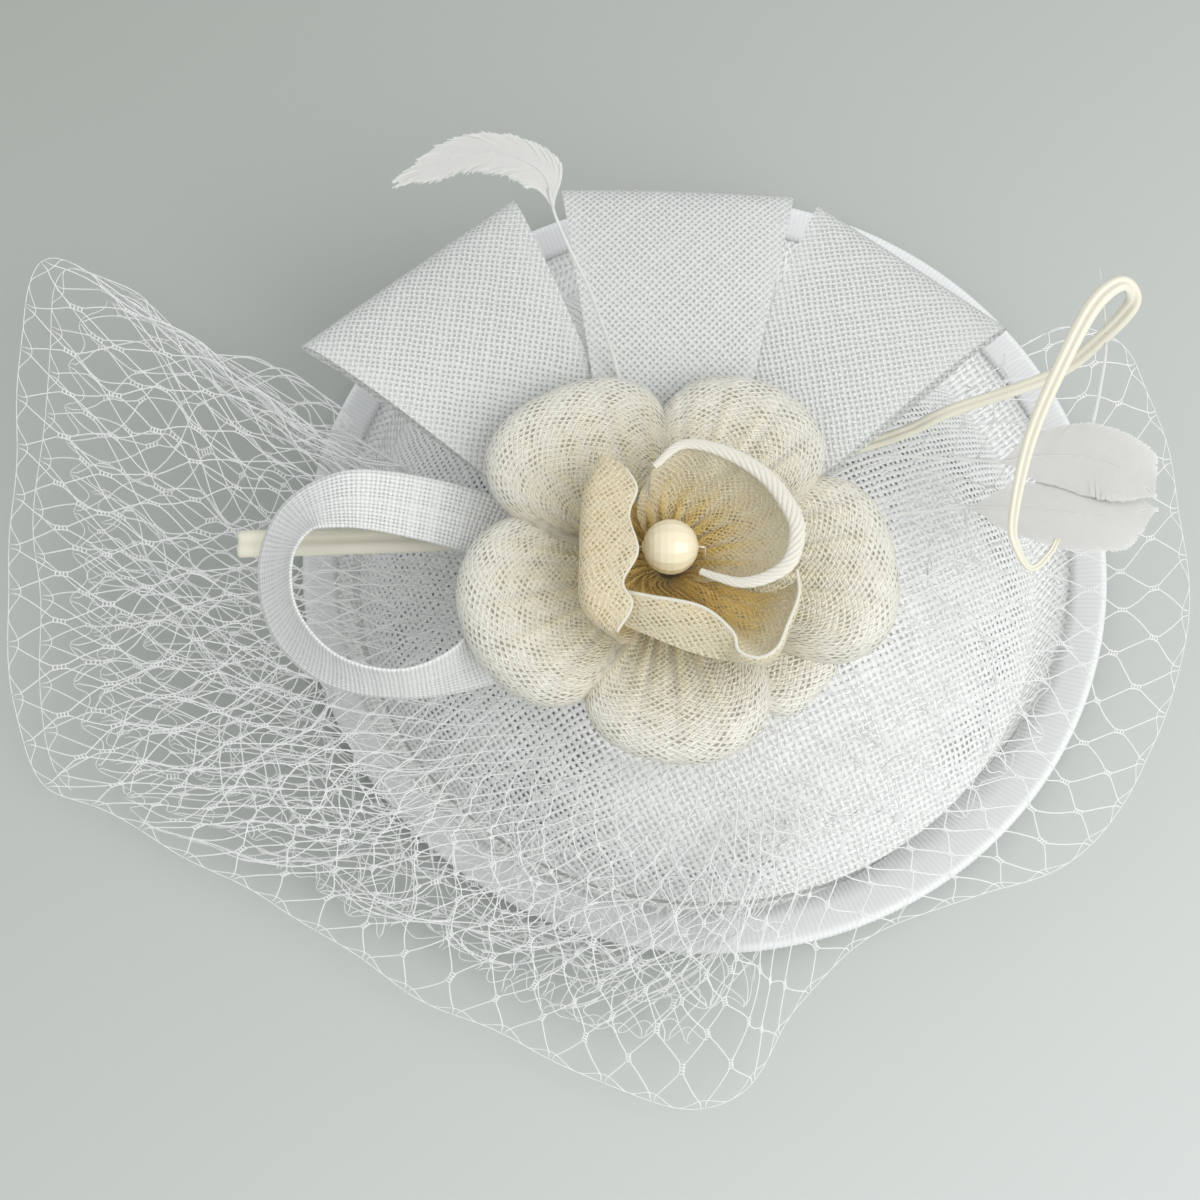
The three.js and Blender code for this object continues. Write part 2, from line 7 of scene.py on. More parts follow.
import bmesh
import bpy
import numpy as np
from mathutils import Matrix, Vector


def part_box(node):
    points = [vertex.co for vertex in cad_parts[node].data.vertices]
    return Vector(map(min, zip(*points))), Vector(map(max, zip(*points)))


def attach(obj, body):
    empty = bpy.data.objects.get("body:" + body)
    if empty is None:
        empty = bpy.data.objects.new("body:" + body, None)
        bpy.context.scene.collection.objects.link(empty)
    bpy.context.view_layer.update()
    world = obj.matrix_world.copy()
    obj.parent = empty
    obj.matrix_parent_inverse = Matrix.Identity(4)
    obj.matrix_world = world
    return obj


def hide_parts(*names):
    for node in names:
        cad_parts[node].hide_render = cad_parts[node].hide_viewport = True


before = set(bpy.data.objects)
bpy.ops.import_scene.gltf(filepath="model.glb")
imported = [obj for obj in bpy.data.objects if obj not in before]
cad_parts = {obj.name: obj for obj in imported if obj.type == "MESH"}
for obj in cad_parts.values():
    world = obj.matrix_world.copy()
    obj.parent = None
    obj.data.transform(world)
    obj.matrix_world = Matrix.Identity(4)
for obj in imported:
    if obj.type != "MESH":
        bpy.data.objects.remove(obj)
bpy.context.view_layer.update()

MM = 0.001
HEADPIECE = "headpiece"
rim_low, rim_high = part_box("rim_binding")
RIM = np.array([(rim_low.x + rim_high.x) / 2, (rim_low.y + rim_high.y) / 2, 0.0])

# Base, in millimetres
CLOTH = 1.2
CROWN_X, CROWN_Y = -4.0, -3.5
CROWN_RADIUS = 82.0
CROWN_RISE = 43.8
FULLEST = 5.5
FULLEST_BEARING = -25  # degrees, as is the next
FULLNESS_WIDTH = 60
CREASE_RADIUS = 88.6
BRIM_ANGLE = math.radians(25)
BRIM_LENGTH = 10.2
SPHERE = (CROWN_RADIUS ** 2 + CROWN_RISE ** 2) / (2 * CROWN_RISE)
SPHERE_Z = CLOTH + CROWN_RISE - SPHERE

# Flower
FLOWER_X, FLOWER_Y = -11.0, -24.5
BEAD_Z = 74.0
BEAD_RADIUS = 6.0


# ---- point helpers

def placed(points):
    """Points in millimetres about the brim's centre, as metres in the frame."""
    return np.asarray(points, float) * MM + RIM


def unit(vectors):
    return vectors / np.linalg.norm(vectors, axis=-1, keepdims=True)


def stacked(*parts):
    """Arrays brought to one shape and joined as the numbers of each point."""
    return np.stack(np.broadcast_arrays(*parts), axis=-1)


def distances(line):
    """How far along a line each of its points is."""
    return np.concatenate([[0], np.cumsum(np.linalg.norm(np.diff(line, axis=0), axis=1))])


def at(line, shares):
    """Values at these shares of the way through the rows of a line."""
    here = np.linspace(0, 1, len(line))
    return stacked(*(np.interp(shares, here, column) for column in line.T))


def flat_place(lengthways, sideways):
    """Each point's place in the flat cloth, in metres."""
    return stacked(lengthways, sideways) * MM


def evenly(line, count):
    """count points evenly spaced along a line; columns after the first three go along with it."""
    travelled = distances(line[:, :3])
    wanted = np.linspace(0, travelled[-1], count)
    return stacked(*(np.interp(wanted, travelled, column) for column in line.T))


def smooth(points, count):
    """count evenly spaced points on a smooth line through the given points."""
    given = np.array(points, float)
    ends = 2 * given[0] - given[1], 2 * given[-1] - given[-2]
    padded = np.vstack([ends[0], given, ends[1]])
    fine = 16
    t = np.linspace(0, 1, fine, endpoint=False)[:, None]
    parts = []
    for before, start, end, after in zip(padded, padded[1:], padded[2:], padded[3:]):
        bend = 2 * before - 5 * start + 4 * end - after
        turn = 3 * start - before - 3 * end + after
        parts.append(start + 0.5 * ((end - before) * t + bend * t ** 2 + turn * t ** 3))
    return evenly(np.vstack([*parts, given[-1:]]), count)


def from_flower(distance, bearing, z):
    """Points at a distance and bearing (degrees from +X) from the flower's middle."""
    turn = np.radians(bearing)
    return stacked(FLOWER_X + distance * np.cos(turn), FLOWER_Y + distance * np.sin(turn), z)


def fullness(x, y):
    """How far the crown's foot stands out beyond a true circle: most towards the front right."""
    bearing = np.degrees(np.arctan2(y - CROWN_Y, x - CROWN_X))
    turned = (bearing - FULLEST_BEARING + 180) % 360 - 180
    return FULLEST * np.exp(-(turned / FULLNESS_WIDTH) ** 2)


def crown_height(x, y):
    distance = np.hypot(x - CROWN_X, y - CROWN_Y)
    distance = distance - fullness(x, y) * np.minimum(distance / CROWN_RADIUS, 1.1) ** 3
    return SPHERE_Z + np.sqrt(np.maximum(SPHERE ** 2 - distance ** 2, 0))


# ---- mesh helpers

def add_object(name, data):
    made = bpy.data.objects.new(name, data)
    bpy.context.scene.collection.objects.link(made)
    return made


def set_look(mesh, look):
    mesh.materials.clear()
    mesh.materials.append(look)


def make_piece(name, points, faces, look, slot, replaces=(), cloth_uv=None, marks=None,
               smooth_faces=True):
    """One object of the headpiece from points in millimetres. cloth_uv is each point's place in
    the flat cloth in metres, and marks is {attribute name: a number for each point}."""
    mesh = bpy.data.meshes.new(name)
    mesh.from_pydata(placed(points).tolist(), [], [list(map(int, face)) for face in faces])
    mesh.update()
    if cloth_uv is not None:
        loops = np.zeros(len(mesh.loops), np.int32)
        mesh.loops.foreach_get("vertex_index", loops)
        layer = mesh.uv_layers.new(name="cloth")
        layer.data.foreach_set("uv", np.asarray(cloth_uv, np.float32)[loops].ravel())
    for mark, values in (marks or {}).items():
        attribute = mesh.attributes.new(mark, "FLOAT", "POINT")
        attribute.data.foreach_set("value", np.asarray(values, np.float32))
    mesh.polygons.foreach_set("use_smooth", [smooth_faces] * len(mesh.polygons))
    piece = add_object(name, mesh)
    mesh.materials.append(look)
    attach(piece, HEADPIECE)
    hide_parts(*replaces)
    return piece


def grid_faces(rows, columns, wrap_rows=False, wrap_columns=False):
    """Four-sided faces of a grid of points that is stored row after row."""
    i = np.arange(rows if wrap_rows else rows - 1)[:, None]
    j = np.arange(columns if wrap_columns else columns - 1)[None, :]
    next_i, next_j = (i + 1) % rows, (j + 1) % columns
    corners = (i * columns + j, next_i * columns + j, next_i * columns + next_j, i * columns + next_j)
    return np.stack([c.ravel() for c in np.broadcast_arrays(*corners)], axis=1)


def grid_piece(name, points, look, slot, cloth_uv=None, marks=None, **more):
    """A sheet from an array of points with the shape (rows, columns, 3)."""
    rows, columns = points.shape[:2]
    flat_marks = {mark: values.ravel() for mark, values in (marks or {}).items()}
    flat_uv = None if cloth_uv is None else cloth_uv.reshape(-1, 2)
    return make_piece(name, points.reshape(-1, 3), grid_faces(rows, columns), look, slot,
                      cloth_uv=flat_uv, marks=flat_marks, **more)


def end_faces(steps, sides, start=0):
    """The two faces that close a tube of rings, the first of which begins at the point start."""
    end = start + (steps - 1) * sides
    return [list(range(start, start + sides)), list(range(end, end + sides))[::-1]]


def tube_shells(lines, radii, sides, up=(0, 0, 1)):
    """Points and faces of closed round tubes, from lines with the shape (tubes, steps, 3)."""
    lines = np.asarray(lines, float)
    tubes, steps = lines.shape[:2]
    forward = unit(np.gradient(lines, axis=1))
    across = unit(np.cross(np.array(up, float), forward))
    over = np.cross(forward, across)
    radii = np.broadcast_to(radii, (tubes, steps))[..., None, None]
    turn = (np.arange(sides) + 0.5) * 2 * math.pi / sides
    ring = across[:, :, None] * np.cos(turn)[:, None] + over[:, :, None] * np.sin(turn)[:, None]
    points = (lines[:, :, None] + ring * radii).reshape(-1, 3)
    one = grid_faces(steps, sides, wrap_columns=True)
    faces = (one[None] + (np.arange(tubes) * steps * sides)[:, None, None]).reshape(-1, 4).tolist()
    for k in range(tubes):
        faces += end_faces(steps, sides, k * steps * sides)
    return points, faces


def ribbon_shells(lines, across, widths):
    """Points and faces of flat strips, from lines and their directions across, (strips, steps, 3)."""
    strips, steps = lines.shape[:2]
    half = across * np.asarray(widths)[..., None] / 2
    points = np.stack([lines - half, lines + half], axis=2).reshape(-1, 3)
    one = grid_faces(steps, 2)
    faces = (one[None] + (np.arange(strips) * steps * 2)[:, None, None]).reshape(-1, 4)
    return points, faces.tolist()


def together(*shells):
    """Several (points, faces) pairs as one."""
    points, faces, first = [], [], 0
    for shell_points, shell_faces in shells:
        points.append(shell_points)
        faces.extend([[corner + first for corner in face] for face in shell_faces])
        first += len(shell_points)
    return np.vstack(points), faces


# ---- material helpers

class Look:
    """One material, with short calls for the nodes that make it."""

    def __init__(self, name, **settings):
        self.material = bpy.data.materials.new(name)
        self.material.use_nodes = True
        self.tree = self.material.node_tree
        self.shader = self.tree.nodes["Principled BSDF"]
        self.output = self.tree.nodes["Material Output"]
        for socket, value in settings.items():
            self.shader.inputs[socket.replace("_", " ")].default_value = value

    def node(self, kind, inputs=None, **settings):
        """A new node. inputs is {socket: a value or another node's output}."""
        node = self.tree.nodes.new(kind)
        for key, value in settings.items():
            setattr(node, key, value)
        for key, value in (inputs or {}).items():
            self.feed(node.inputs[key], value)
        return node

    def feed(self, socket, value):
        if isinstance(value, bpy.types.NodeSocket):
            self.tree.links.new(value, socket)
        else:
            socket.default_value = value

    def math(self, operation, *values, clamp=False):
        inputs = dict(enumerate(values))
        return self.node("ShaderNodeMath", inputs, operation=operation, use_clamp=clamp).outputs[0]

    def times(self, *values, clamp=False):
        return self.math("MULTIPLY", *values, clamp=clamp)

    def vector(self, operation, *values):
        inputs = dict(enumerate(values))
        return self.node("ShaderNodeVectorMath", inputs, operation=operation).outputs[0]

    def mix(self, share, first, second, blend="MIX"):
        inputs = {0: share, 6: colour(first), 7: colour(second)}
        return self.node("ShaderNodeMix", inputs, data_type="RGBA", blend_type=blend).outputs[2]

    def blend_number(self, share, first, second):
        return self.math("MULTIPLY_ADD", share, self.math("SUBTRACT", second, first), first)

    def noise(self, scale, detail=2.0, vector=None, part=0):
        inputs = {"Scale": scale, "Detail": detail}
        inputs["Vector"] = self.place() if vector is None else vector
        return self.node("ShaderNodeTexNoise", inputs).outputs[part]

    def place(self):
        return self.node("ShaderNodeTexCoord").outputs["Object"]

    def cloth(self):
        return self.node("ShaderNodeUVMap", uv_map="cloth").outputs[0]

    def mark(self, name):
        return self.node("ShaderNodeAttribute", attribute_name=name).outputs["Fac"]

    def random(self, number):
        return self.node("ShaderNodeTexWhiteNoise", {"W": number}, noise_dimensions="1D").outputs[0]

    def colour_from(self, socket):
        self.feed(self.shader.inputs["Base Color"], socket)

    def bump(self, height, distance):
        inputs = {"Height": height, "Distance": distance, "Strength": 1.0}
        self.feed(self.shader.inputs["Normal"], self.node("ShaderNodeBump", inputs).outputs[0])

    def glow(self, share, tint, cover=None):
        """Lets light through to the other side, and shows what is behind where cover is 0."""
        passing = self.node("ShaderNodeBsdfTranslucent", {"Color": colour(tint)}).outputs[0]
        inputs = {0: share, 1: self.shader.outputs[0], 2: passing}
        surface = self.node("ShaderNodeMixShader", inputs).outputs[0]
        if cover is not None:
            clear = self.node("ShaderNodeBsdfTransparent").outputs[0]
            surface = self.node("ShaderNodeMixShader", {0: cover, 1: clear, 2: surface}).outputs[0]
        self.feed(self.output.inputs["Surface"], surface)


def colour(value):
    return (*value, 1.0) if isinstance(value, tuple) and len(value) == 3 else value


def plain_look(name, noise, tones, bump=None, glow=None, **settings):
    """A material without a weave. noise is the scale and detail of the change between its two
    tones, bump the scale, detail and depth in mm of its relief, and glow the share and tint."""
    look = Look(name, **settings)
    look.colour_from(look.mix(look.noise(*noise), *tones))
    if bump:
        *relief, depth = bump
        look.bump(look.noise(*relief), depth * MM)
    if glow:
        look.glow(*glow)
    return look.material


def weave(look, pitch, width, turn=0.0, seed=0.0, stretch=1.0, wobble=0.1):
    """Threads that cross in a plain weave: pitch apart, width of it wide, turned by turn degrees
    and pulled lengthways by stretch. Returns how much of the spot is covered, the height there
    and a random number for the thread on top."""
    flat = look.vector("MULTIPLY", look.cloth(), (1 / (pitch * stretch), stretch / pitch, 0))
    turned = look.node("ShaderNodeVectorRotate", {"Vector": flat, "Angle": math.radians(turn)},
                       rotation_type="Z_AXIS").outputs[0]
    drift = look.noise(0.3, 2.0, turned, part=1)
    drift = look.vector("SUBTRACT", drift, (0.5, 0.5, 0.5))
    moved = look.vector("MULTIPLY_ADD", drift, (8 * wobble, 8 * wobble, 0), turned)
    split = look.node("ShaderNodeSeparateXYZ", {0: moved}).outputs
    cover, height, number = None, None, None
    for across, lengthways, sign in ((split[0], split[1], 1.0), (split[1], split[0], -1.0)):
        thread = look.math("FLOOR", across)
        chance = look.random(look.math("ADD", thread, seed + sign * 17.3))
        half = look.math("MULTIPLY_ADD", chance, 0.4 * width, 0.8 * width)
        off = look.math("ABSOLUTE", look.math("SUBTRACT", look.math("FRACT", across), 0.5))
        off = look.times(off, 2.0)
        inside = look.times(look.math("SUBTRACT", half, off), 8.0, clamp=True)
        rounding = look.math("SUBTRACT", 1.0, look.math("POWER", look.math("DIVIDE", off, half), 2.0))
        phase = look.times(look.math("ADD", lengthways, thread), math.pi)
        lift = look.times(look.math("SINE", phase), 0.3 * sign)
        level = look.math("ADD", look.math("MULTIPLY_ADD", rounding, 0.45, 0.4), lift)
        level = look.times(level, inside)
        if cover is None:
            cover, height, number = inside, level, chance
        else:
            above = look.math("GREATER_THAN", level, height)
            number = look.blend_number(above, number, chance)
            cover = look.math("MAXIMUM", cover, inside)
            height = look.math("MAXIMUM", height, level)
    return cover, height, number


def sinamay(name, bright, shade, pitch, width, turn, seed, patches=0.0, shade_gold=None, glow=0.15,
            coat=0.0, second=None, stretch=1.0):
    """Stiffened open-weave cloth. The mark "closed" fills its holes, and the mark "tuck" turns it
    golden with painted shade; shade is the painted shade in the hollows of the weave and in
    filled holes. patches is how much of it has its holes filled with stiffener, and second is the
    turn of a second layer of the cloth that shows through the holes of the first, painted darker
    as shade under the first."""
    look = Look(name, Roughness=0.34, Sheen_Weight=0.25, Sheen_Roughness=0.4, Coat_Weight=coat,
                Coat_Roughness=0.2)
    cover, height, number = weave(look, pitch, width, turn, seed, stretch)
    # Painted shade in the hollows of the weave: the low parts of the threads, and filled holes, take the
    # shade colour.
    tone = look.mix(look.times(height, 1.3, clamp=True), shade, bright)
    darker = tuple(channel * 0.88 for channel in bright)
    tone = look.mix(look.times(number, 0.5), tone, darker)
    filled = look.math("MAXIMUM", cover, look.mark("closed"))
    if second is not None:
        # The second layer shows no lighter than darker: painted shade under the first layer.
        lower, lower_height, _ = weave(look, 1.04 * pitch, width, turn + second, seed + 40, stretch)
        lower_tone = look.mix(look.times(lower_height, 0.8, clamp=True), shade, darker)
        tone = look.mix(cover, lower_tone, tone)
        filled = look.math("MAXIMUM", filled, lower)
        height = look.math("MULTIPLY_ADD", cover, height, look.times(lower_height, 0.3))
    # Painted golden shade: where the mark is high, the colour is multiplied by the golden tint.
    if shade_gold is not None:
        tone = look.mix(look.mark("golden_shade"), tone, shade_gold, blend="MULTIPLY")
    look.colour_from(tone)
    look.bump(height, 0.3 * pitch)
    if patches:
        stiff = look.math("SUBTRACT", look.noise(22.0, 1.0), 0.62 - 0.3 * patches)
        filled = look.math("MAXIMUM", filled, look.times(stiff, 9.0, clamp=True))
    look.glow(glow, bright, filled)
    return look.material


# ---- camera, floor, light

FLOOR_REACH = 30.0
FLOOR_Z = -0.0003
VIEW_ELEVATION = math.radians(71)
VIEW_DISTANCE = 0.5


def aim(thing, direction):
    thing.rotation_euler = direction.to_track_quat("-Z", "Y").to_euler()


def area_light(name, place, size, power, tint):
    """A square lamp that points at the headpiece."""
    data = bpy.data.lights.new(name, "AREA")
    data.size = size
    data.energy = power
    data.color = tint
    lamp = add_object(name, data)
    lamp.location = place
    aim(lamp, Vector((0, 0, 0.03)) - Vector(place))


def light_and_camera():
    floor = bpy.data.meshes.new("floor")
    corners = [(-1, -1), (1, -1), (1, 1), (-1, 1)]
    floor.from_pydata([(x * FLOOR_REACH, y * FLOOR_REACH, FLOOR_Z) for x, y in corners], [],
                      [(0, 1, 2, 3)])
    table = add_object("floor", floor)
    look = Look("table_top", Roughness=0.6)
    # Painted light falloff: the table top is darker at the back left and lighter at the front right,
    # standing in for the fall of light.
    split = look.node("ShaderNodeSeparateXYZ", {0: look.place()}).outputs
    painted_falloff = look.math("MULTIPLY_ADD", split[0], 1.0, 0.47)
    painted_falloff = look.math("MULTIPLY_ADD", split[1], -1.5, painted_falloff, clamp=True)
    look.colour_from(look.mix(painted_falloff, (0.355, 0.378, 0.346), (0.63, 0.66, 0.645)))
    floor.materials.append(look.material)

    world = bpy.data.worlds.new("studio")
    world.use_nodes = True
    bpy.context.scene.world = world
    world.node_tree.nodes["Background"].inputs[0].default_value = (0.97, 0.985, 1.0, 1.0)
    world.node_tree.nodes["Background"].inputs[1].default_value = 0.72

    area_light("key", (0.75, -0.45, 0.9), 1.1, 9.6, (1.0, 0.995, 0.98))
    area_light("fill", (-0.5, 0.5, 0.9), 1.2, 1.5, (0.98, 0.99, 1.0))

    camera = bpy.data.cameras.new("camera")
    camera.sensor_width = 36
    camera.lens = 60
    eye = add_object("camera", camera)
    back = Vector((0, -math.cos(VIEW_ELEVATION), math.sin(VIEW_ELEVATION)))
    eye.location = Vector(placed((-26, -11, 0))) + VIEW_DISTANCE * back
    aim(eye, -back)
    bpy.context.scene.camera = eye
    bpy.context.scene.view_settings.view_transform = "Standard"


# ---- the base

def brim_point(s, n):
    """Radius and height s up the brim from the crease and n out from its underside."""
    return (CREASE_RADIUS + s * math.cos(BRIM_ANGLE) - n * math.sin(BRIM_ANGLE),
            s * math.sin(BRIM_ANGLE) + n * math.cos(BRIM_ANGLE))


CREASE_WIDTH = 6.0  # of flat cloth


def base_cloth(name, inset, look, replaces=()):
    """One layer of the blocked base, inset below the upper face: crown, crease and brim."""
    steps = 128
    turn = np.linspace(0, 2 * math.pi, steps + 1)
    sphere = SPHERE - inset
    limit = math.acos((CLOTH - inset - SPHERE_Z) / sphere)
    rings, reaches = [], []
    for angle in np.linspace(0.004, limit, 34):
        radius = sphere * math.sin(angle)
        rings.append((CROWN_X, CROWN_Y, radius, SPHERE_Z + sphere * math.cos(angle),
                      (radius / CROWN_RADIUS) ** 3))
        reaches.append(SPHERE * angle)
    crease = reaches[-1]
    for part in (0.5, 1.0):
        rings.append((CROWN_X * (1 - part), CROWN_Y * (1 - part),
                      CROWN_RADIUS + part * (CREASE_RADIUS - CROWN_RADIUS - 0.5), CLOTH - inset,
                      1 - part))
        reaches.append(crease + part * CREASE_WIDTH)
    for s in (2.0, 4.0, 7.0, BRIM_LENGTH):
        radius, z = brim_point(s, CLOTH - inset)
        rings.append((0, 0, radius, z, 0))
        reaches.append(crease + CREASE_WIDTH + s)
    around = np.stack([np.cos(turn), np.sin(turn)], axis=1)
    fuller = fullness(CROWN_X + np.cos(turn), CROWN_Y + np.sin(turn))
    points, flat = [], []
    for (x, y, radius, z, share), reach in zip(rings, reaches):
        ring = np.empty((steps + 1, 3))
        ring[:, :2] = np.array([x, y]) + (radius + share * fuller)[:, None] * around
        ring[:, 2] = z
        points.append(ring)
        flat.append(reach * around * MM)
    filled = np.clip((np.array(reaches) - crease + 10) / 6, 0, 1)[:, None] * np.ones(steps + 1)
    piece = grid_piece(name, np.array(points), look, "base_sinamay", np.array(flat),
                       marks={"closed": filled}, replaces=replaces)


RIBS = 520
RIB_DEPTH = 0.14
BINDING_EDGE = 4.4  # how far up the brim from the crease


def ribbon_face(out):
    """The s and n of brim_point along one face of the ribbon, out from the middle of its fold."""
    fold = BRIM_LENGTH + 1.0
    around = [(fold + out * math.cos(a), out * math.sin(a))
              for a in np.linspace(math.pi / 2, -math.pi / 2, 7)]
    return [(BINDING_EDGE, out), *around, (BINDING_EDGE, -out)]


def binding():
    """Grosgrain folded over the brim's edge, with a rib every 1.2 mm around it."""
    steps = RIBS * 2
    middle = CLOTH / 2
    turn = np.arange(steps) * 2 * math.pi / steps
    bearing = np.degrees(turn)
    start = (BINDING_EDGE - 6.0 * np.exp(-((bearing - 312) / 26) ** 2)
             - 2.2 * np.exp(-((bearing - 255) / 30) ** 2))
    outer = ribbon_face(1.5)
    outer[1:1] = [(6.0, 1.65), (8.5, 1.55)]
    rows = [(s, n, RIB_DEPTH) for s, n in outer] + [(s, n, 0.0) for s, n in ribbon_face(1.0)[::-1]]
    points = np.empty((len(rows), steps, 3))
    rib = np.where(np.arange(steps) % 2, 1.0, -1.0)
    for k, (s, n, depth) in enumerate(rows):
        wide = np.where((s < 5) & (n > 0), start, s)
        out = n + depth * rib * np.sign(n if n else 1)
        radius, z = brim_point(wide, out + middle)
        points[k] = stacked(radius * np.cos(turn), radius * np.sin(turn), np.maximum(z, 0.05))
    faces = grid_faces(len(rows), steps, wrap_rows=True, wrap_columns=True)
    look = Look("grosgrain_ribbon", Roughness=0.4, Sheen_Weight=0.3)
    # Painted shade in the grooves: the mark "ridge" is 1 on each rib and 0 between them, where the tone is
    # darker.
    tone = look.mix(look.mark("ridge"), (0.87, 0.89, 0.895), (0.985, 0.99, 0.99))
    stains = look.times(look.noise(60.0, 3.0), 0.2)
    look.colour_from(look.mix(stains, tone, (0.85, 0.88, 0.88)))
    look.bump(look.noise(4000.0, 2.0), 0.04 * MM)
    look.glow(0.12, (0.93, 0.95, 0.95))
    ridges = np.broadcast_to((rib + 1) / 2, (len(rows), steps))
    piece = make_piece("binding_ribbon", points.reshape(-1, 3), faces, look.material, "grosgrain",
                       replaces=["rim_binding"], marks={"ridge": ridges.ravel()})


base_upper = sinamay("base_weave", (0.975, 0.985, 0.97), (0.88, 0.89, 0.87), 1.7 * MM, 0.78,
                     62, 1.0, patches=0.5, glow=0.05)
# The lower layer is drawn a little darker than the upper one, as painted shade beneath it.
base_under = sinamay("base_weave_under", (0.95, 0.96, 0.94), (0.84, 0.85, 0.83), 1.66 * MM, 0.72,
                     57, 9.0, glow=0.05)


# ---- cloth loops

LOOP_SIDE = [  # distance from the flower and height
    (12, 51.6), (40, 50.8), (70, 49.5), (90, 50.5), (96.5, 55),
    (90, 59.5), (70, 60), (40, 55), (12, 53),
]
LOOPS = {  # bearing, [distance, half width], slide and lift
    "left": (128.4, [(12, 3.2), (45, 17), (98, 31.3)], 0.0, 0.0),
    "middle": (88, [(12, 3.8), (45, 18), (98, 28)], -2.5, 1.0),
    "right": (53, [(12, 3.2), (45, 14.5), (98, 27)], -2.0, 0.0),
}


def folded_loop(place, bearing, half_widths, slide, lift, look):
    """A strip that goes out, folds over and comes back. slide shifts its lower half sideways."""
    side = smooth([(distance, z + lift, 0) for distance, z in LOOP_SIDE], 90)
    distance, z = side[:, 0], side[:, 1]
    steps = np.linspace(-1, 1, 25)
    half = np.interp(distance, *np.array(half_widths).T)
    travelled = distances(side)
    below = np.clip(1 - travelled / travelled[-1] * 2, 0, 1)
    half = half * (1 - 0.07 * np.clip(below * 8, 0, 1))
    centre = from_flower(distance, bearing, z)
    across = from_flower(1.0, bearing + 90, 0) - from_flower(0.0, 0, 0)
    offset = half[:, None] * steps + (slide * below * distance / 60)[:, None]
    points = centre[:, None] + offset[..., None] * across
    points[..., 2] += 0.5 * np.sin(distance / 17 + bearing)[:, None] * steps ** 2
    points[..., 2] -= 0.8 * (steps ** 2) * np.clip(distance / 90, 0, 1)[:, None]
    flat = flat_place(travelled[:, None], offset)
    hem = np.clip((3.2 - half[:, None] * (1 - np.abs(steps))) / 0.6, 0.6, 1)
    piece = grid_piece(f"loop_cloth_{place}", points, look, "loop_sinamay", flat,
                       marks={"closed": hem}, replaces=[f"loop_{place}"])


# ---- tape loop

TAPE_WIDTH = 15.5
TAPE_ROUTE = [  # place and direction across
    (-39, -17.5, 50.8, 0.1, 1, 0), (-53, -11, 52.6, 0, 1, 0), (-70, -8, 57, 0, 1, -0.1),
    (-83, -7.5, 59, -0.15, 0.95, -0.25), (-93, -11, 58, -0.6, 0.55, -0.6),
    (-98, -21, 56, -0.62, 0.1, -0.78), (-95.5, -35, 54.5, -0.45, -0.15, -0.88),
    (-85, -45.5, 53.8, -0.25, -0.15, -0.95), (-70, -49, 53.8, -0.05, -0.12, -0.99),
    (-57, -45.5, 53, 0.1, -0.35, -0.93), (-45, -37, 51, 0.3, -0.9, -0.3),
]


def tape_look():
    look = Look("woven_tape", Roughness=0.5, Sheen_Weight=0.3)
    cover, height, number = weave(look, 1.0 * MM, 0.92, wobble=0.03)
    # Painted shade: the low parts of the threads are darker, and the gaps between threads are painted dark
    # grey.
    tone = look.mix(height, (0.62, 0.63, 0.61), (0.92, 0.93, 0.91))
    tone = look.mix(look.times(number, 0.3), tone, (0.86, 0.87, 0.85))
    gap_shade = look.math("MULTIPLY_ADD", cover, 0.6, 0.4, clamp=True)
    look.colour_from(look.mix(gap_shade, (0.5, 0.5, 0.48), tone))
    look.bump(height, 0.4 * MM)
    look.glow(0.1, (0.95, 0.96, 0.94))
    return look.material


def tape_loop():
    """Close-woven tape in one loop."""
    line = smooth(TAPE_ROUTE, 150)
    centre = line[:, :3]
    forward = unit(np.gradient(centre, axis=0))
    across = line[:, 3:] - np.sum(line[:, 3:] * forward, axis=1)[:, None] * forward
    across = unit(across)
    face = np.cross(forward, across)
    steps = np.linspace(-1, 1, 13)
    bow = 0.5 * (1 - steps ** 2)
    points = (centre[:, None] + across[:, None] * (steps * TAPE_WIDTH / 2)[None, :, None]
              + face[:, None] * bow[None, :, None])
    travelled = np.linspace(0, distances(centre)[-1], len(line))
    flat = flat_place(travelled[:, None], steps * TAPE_WIDTH / 2)
    piece = grid_piece("tape_ribbon", points, tape_look(), "tape", flat, replaces=["tape_loop"])
    body = piece.modifiers.new("thickness", "SOLIDIFY")
    body.thickness = 0.6 * MM
    body.offset = 0


# ---- quill, feathers

def frame_along(line):
    """Directions across and over a line, for sweeping a section along it."""
    forward = unit(np.gradient(line, axis=0))
    across = unit(np.cross((0, 0, 1), forward))
    return across, np.cross(forward, across)


QUILL_ROUTE = [
    (-108.5, -13, 45), (-83, -12.7, 46), (-57, -12, 47.5), (-34, -7.5, 47.8), (-11, -1.2, 47.4),
    (12, 5, 47.4), (34, 10.2, 47.5), (45, 12.7, 50.8), (54, 15.3, 56), (75.5, 20.7, 63),
    (85, 25.7, 71), (91, 31, 78.5), (88, 33.5, 83), (81.5, 28.5, 83), (74, 15.5, 81),
    (66.3, -1.5, 78), (62.3, -18.4, 74), (63.5, -24.5, 71.5), (66.5, -28, 70),
    (70.6, -24.5, 70), (72.3, -21.5, 71),
]


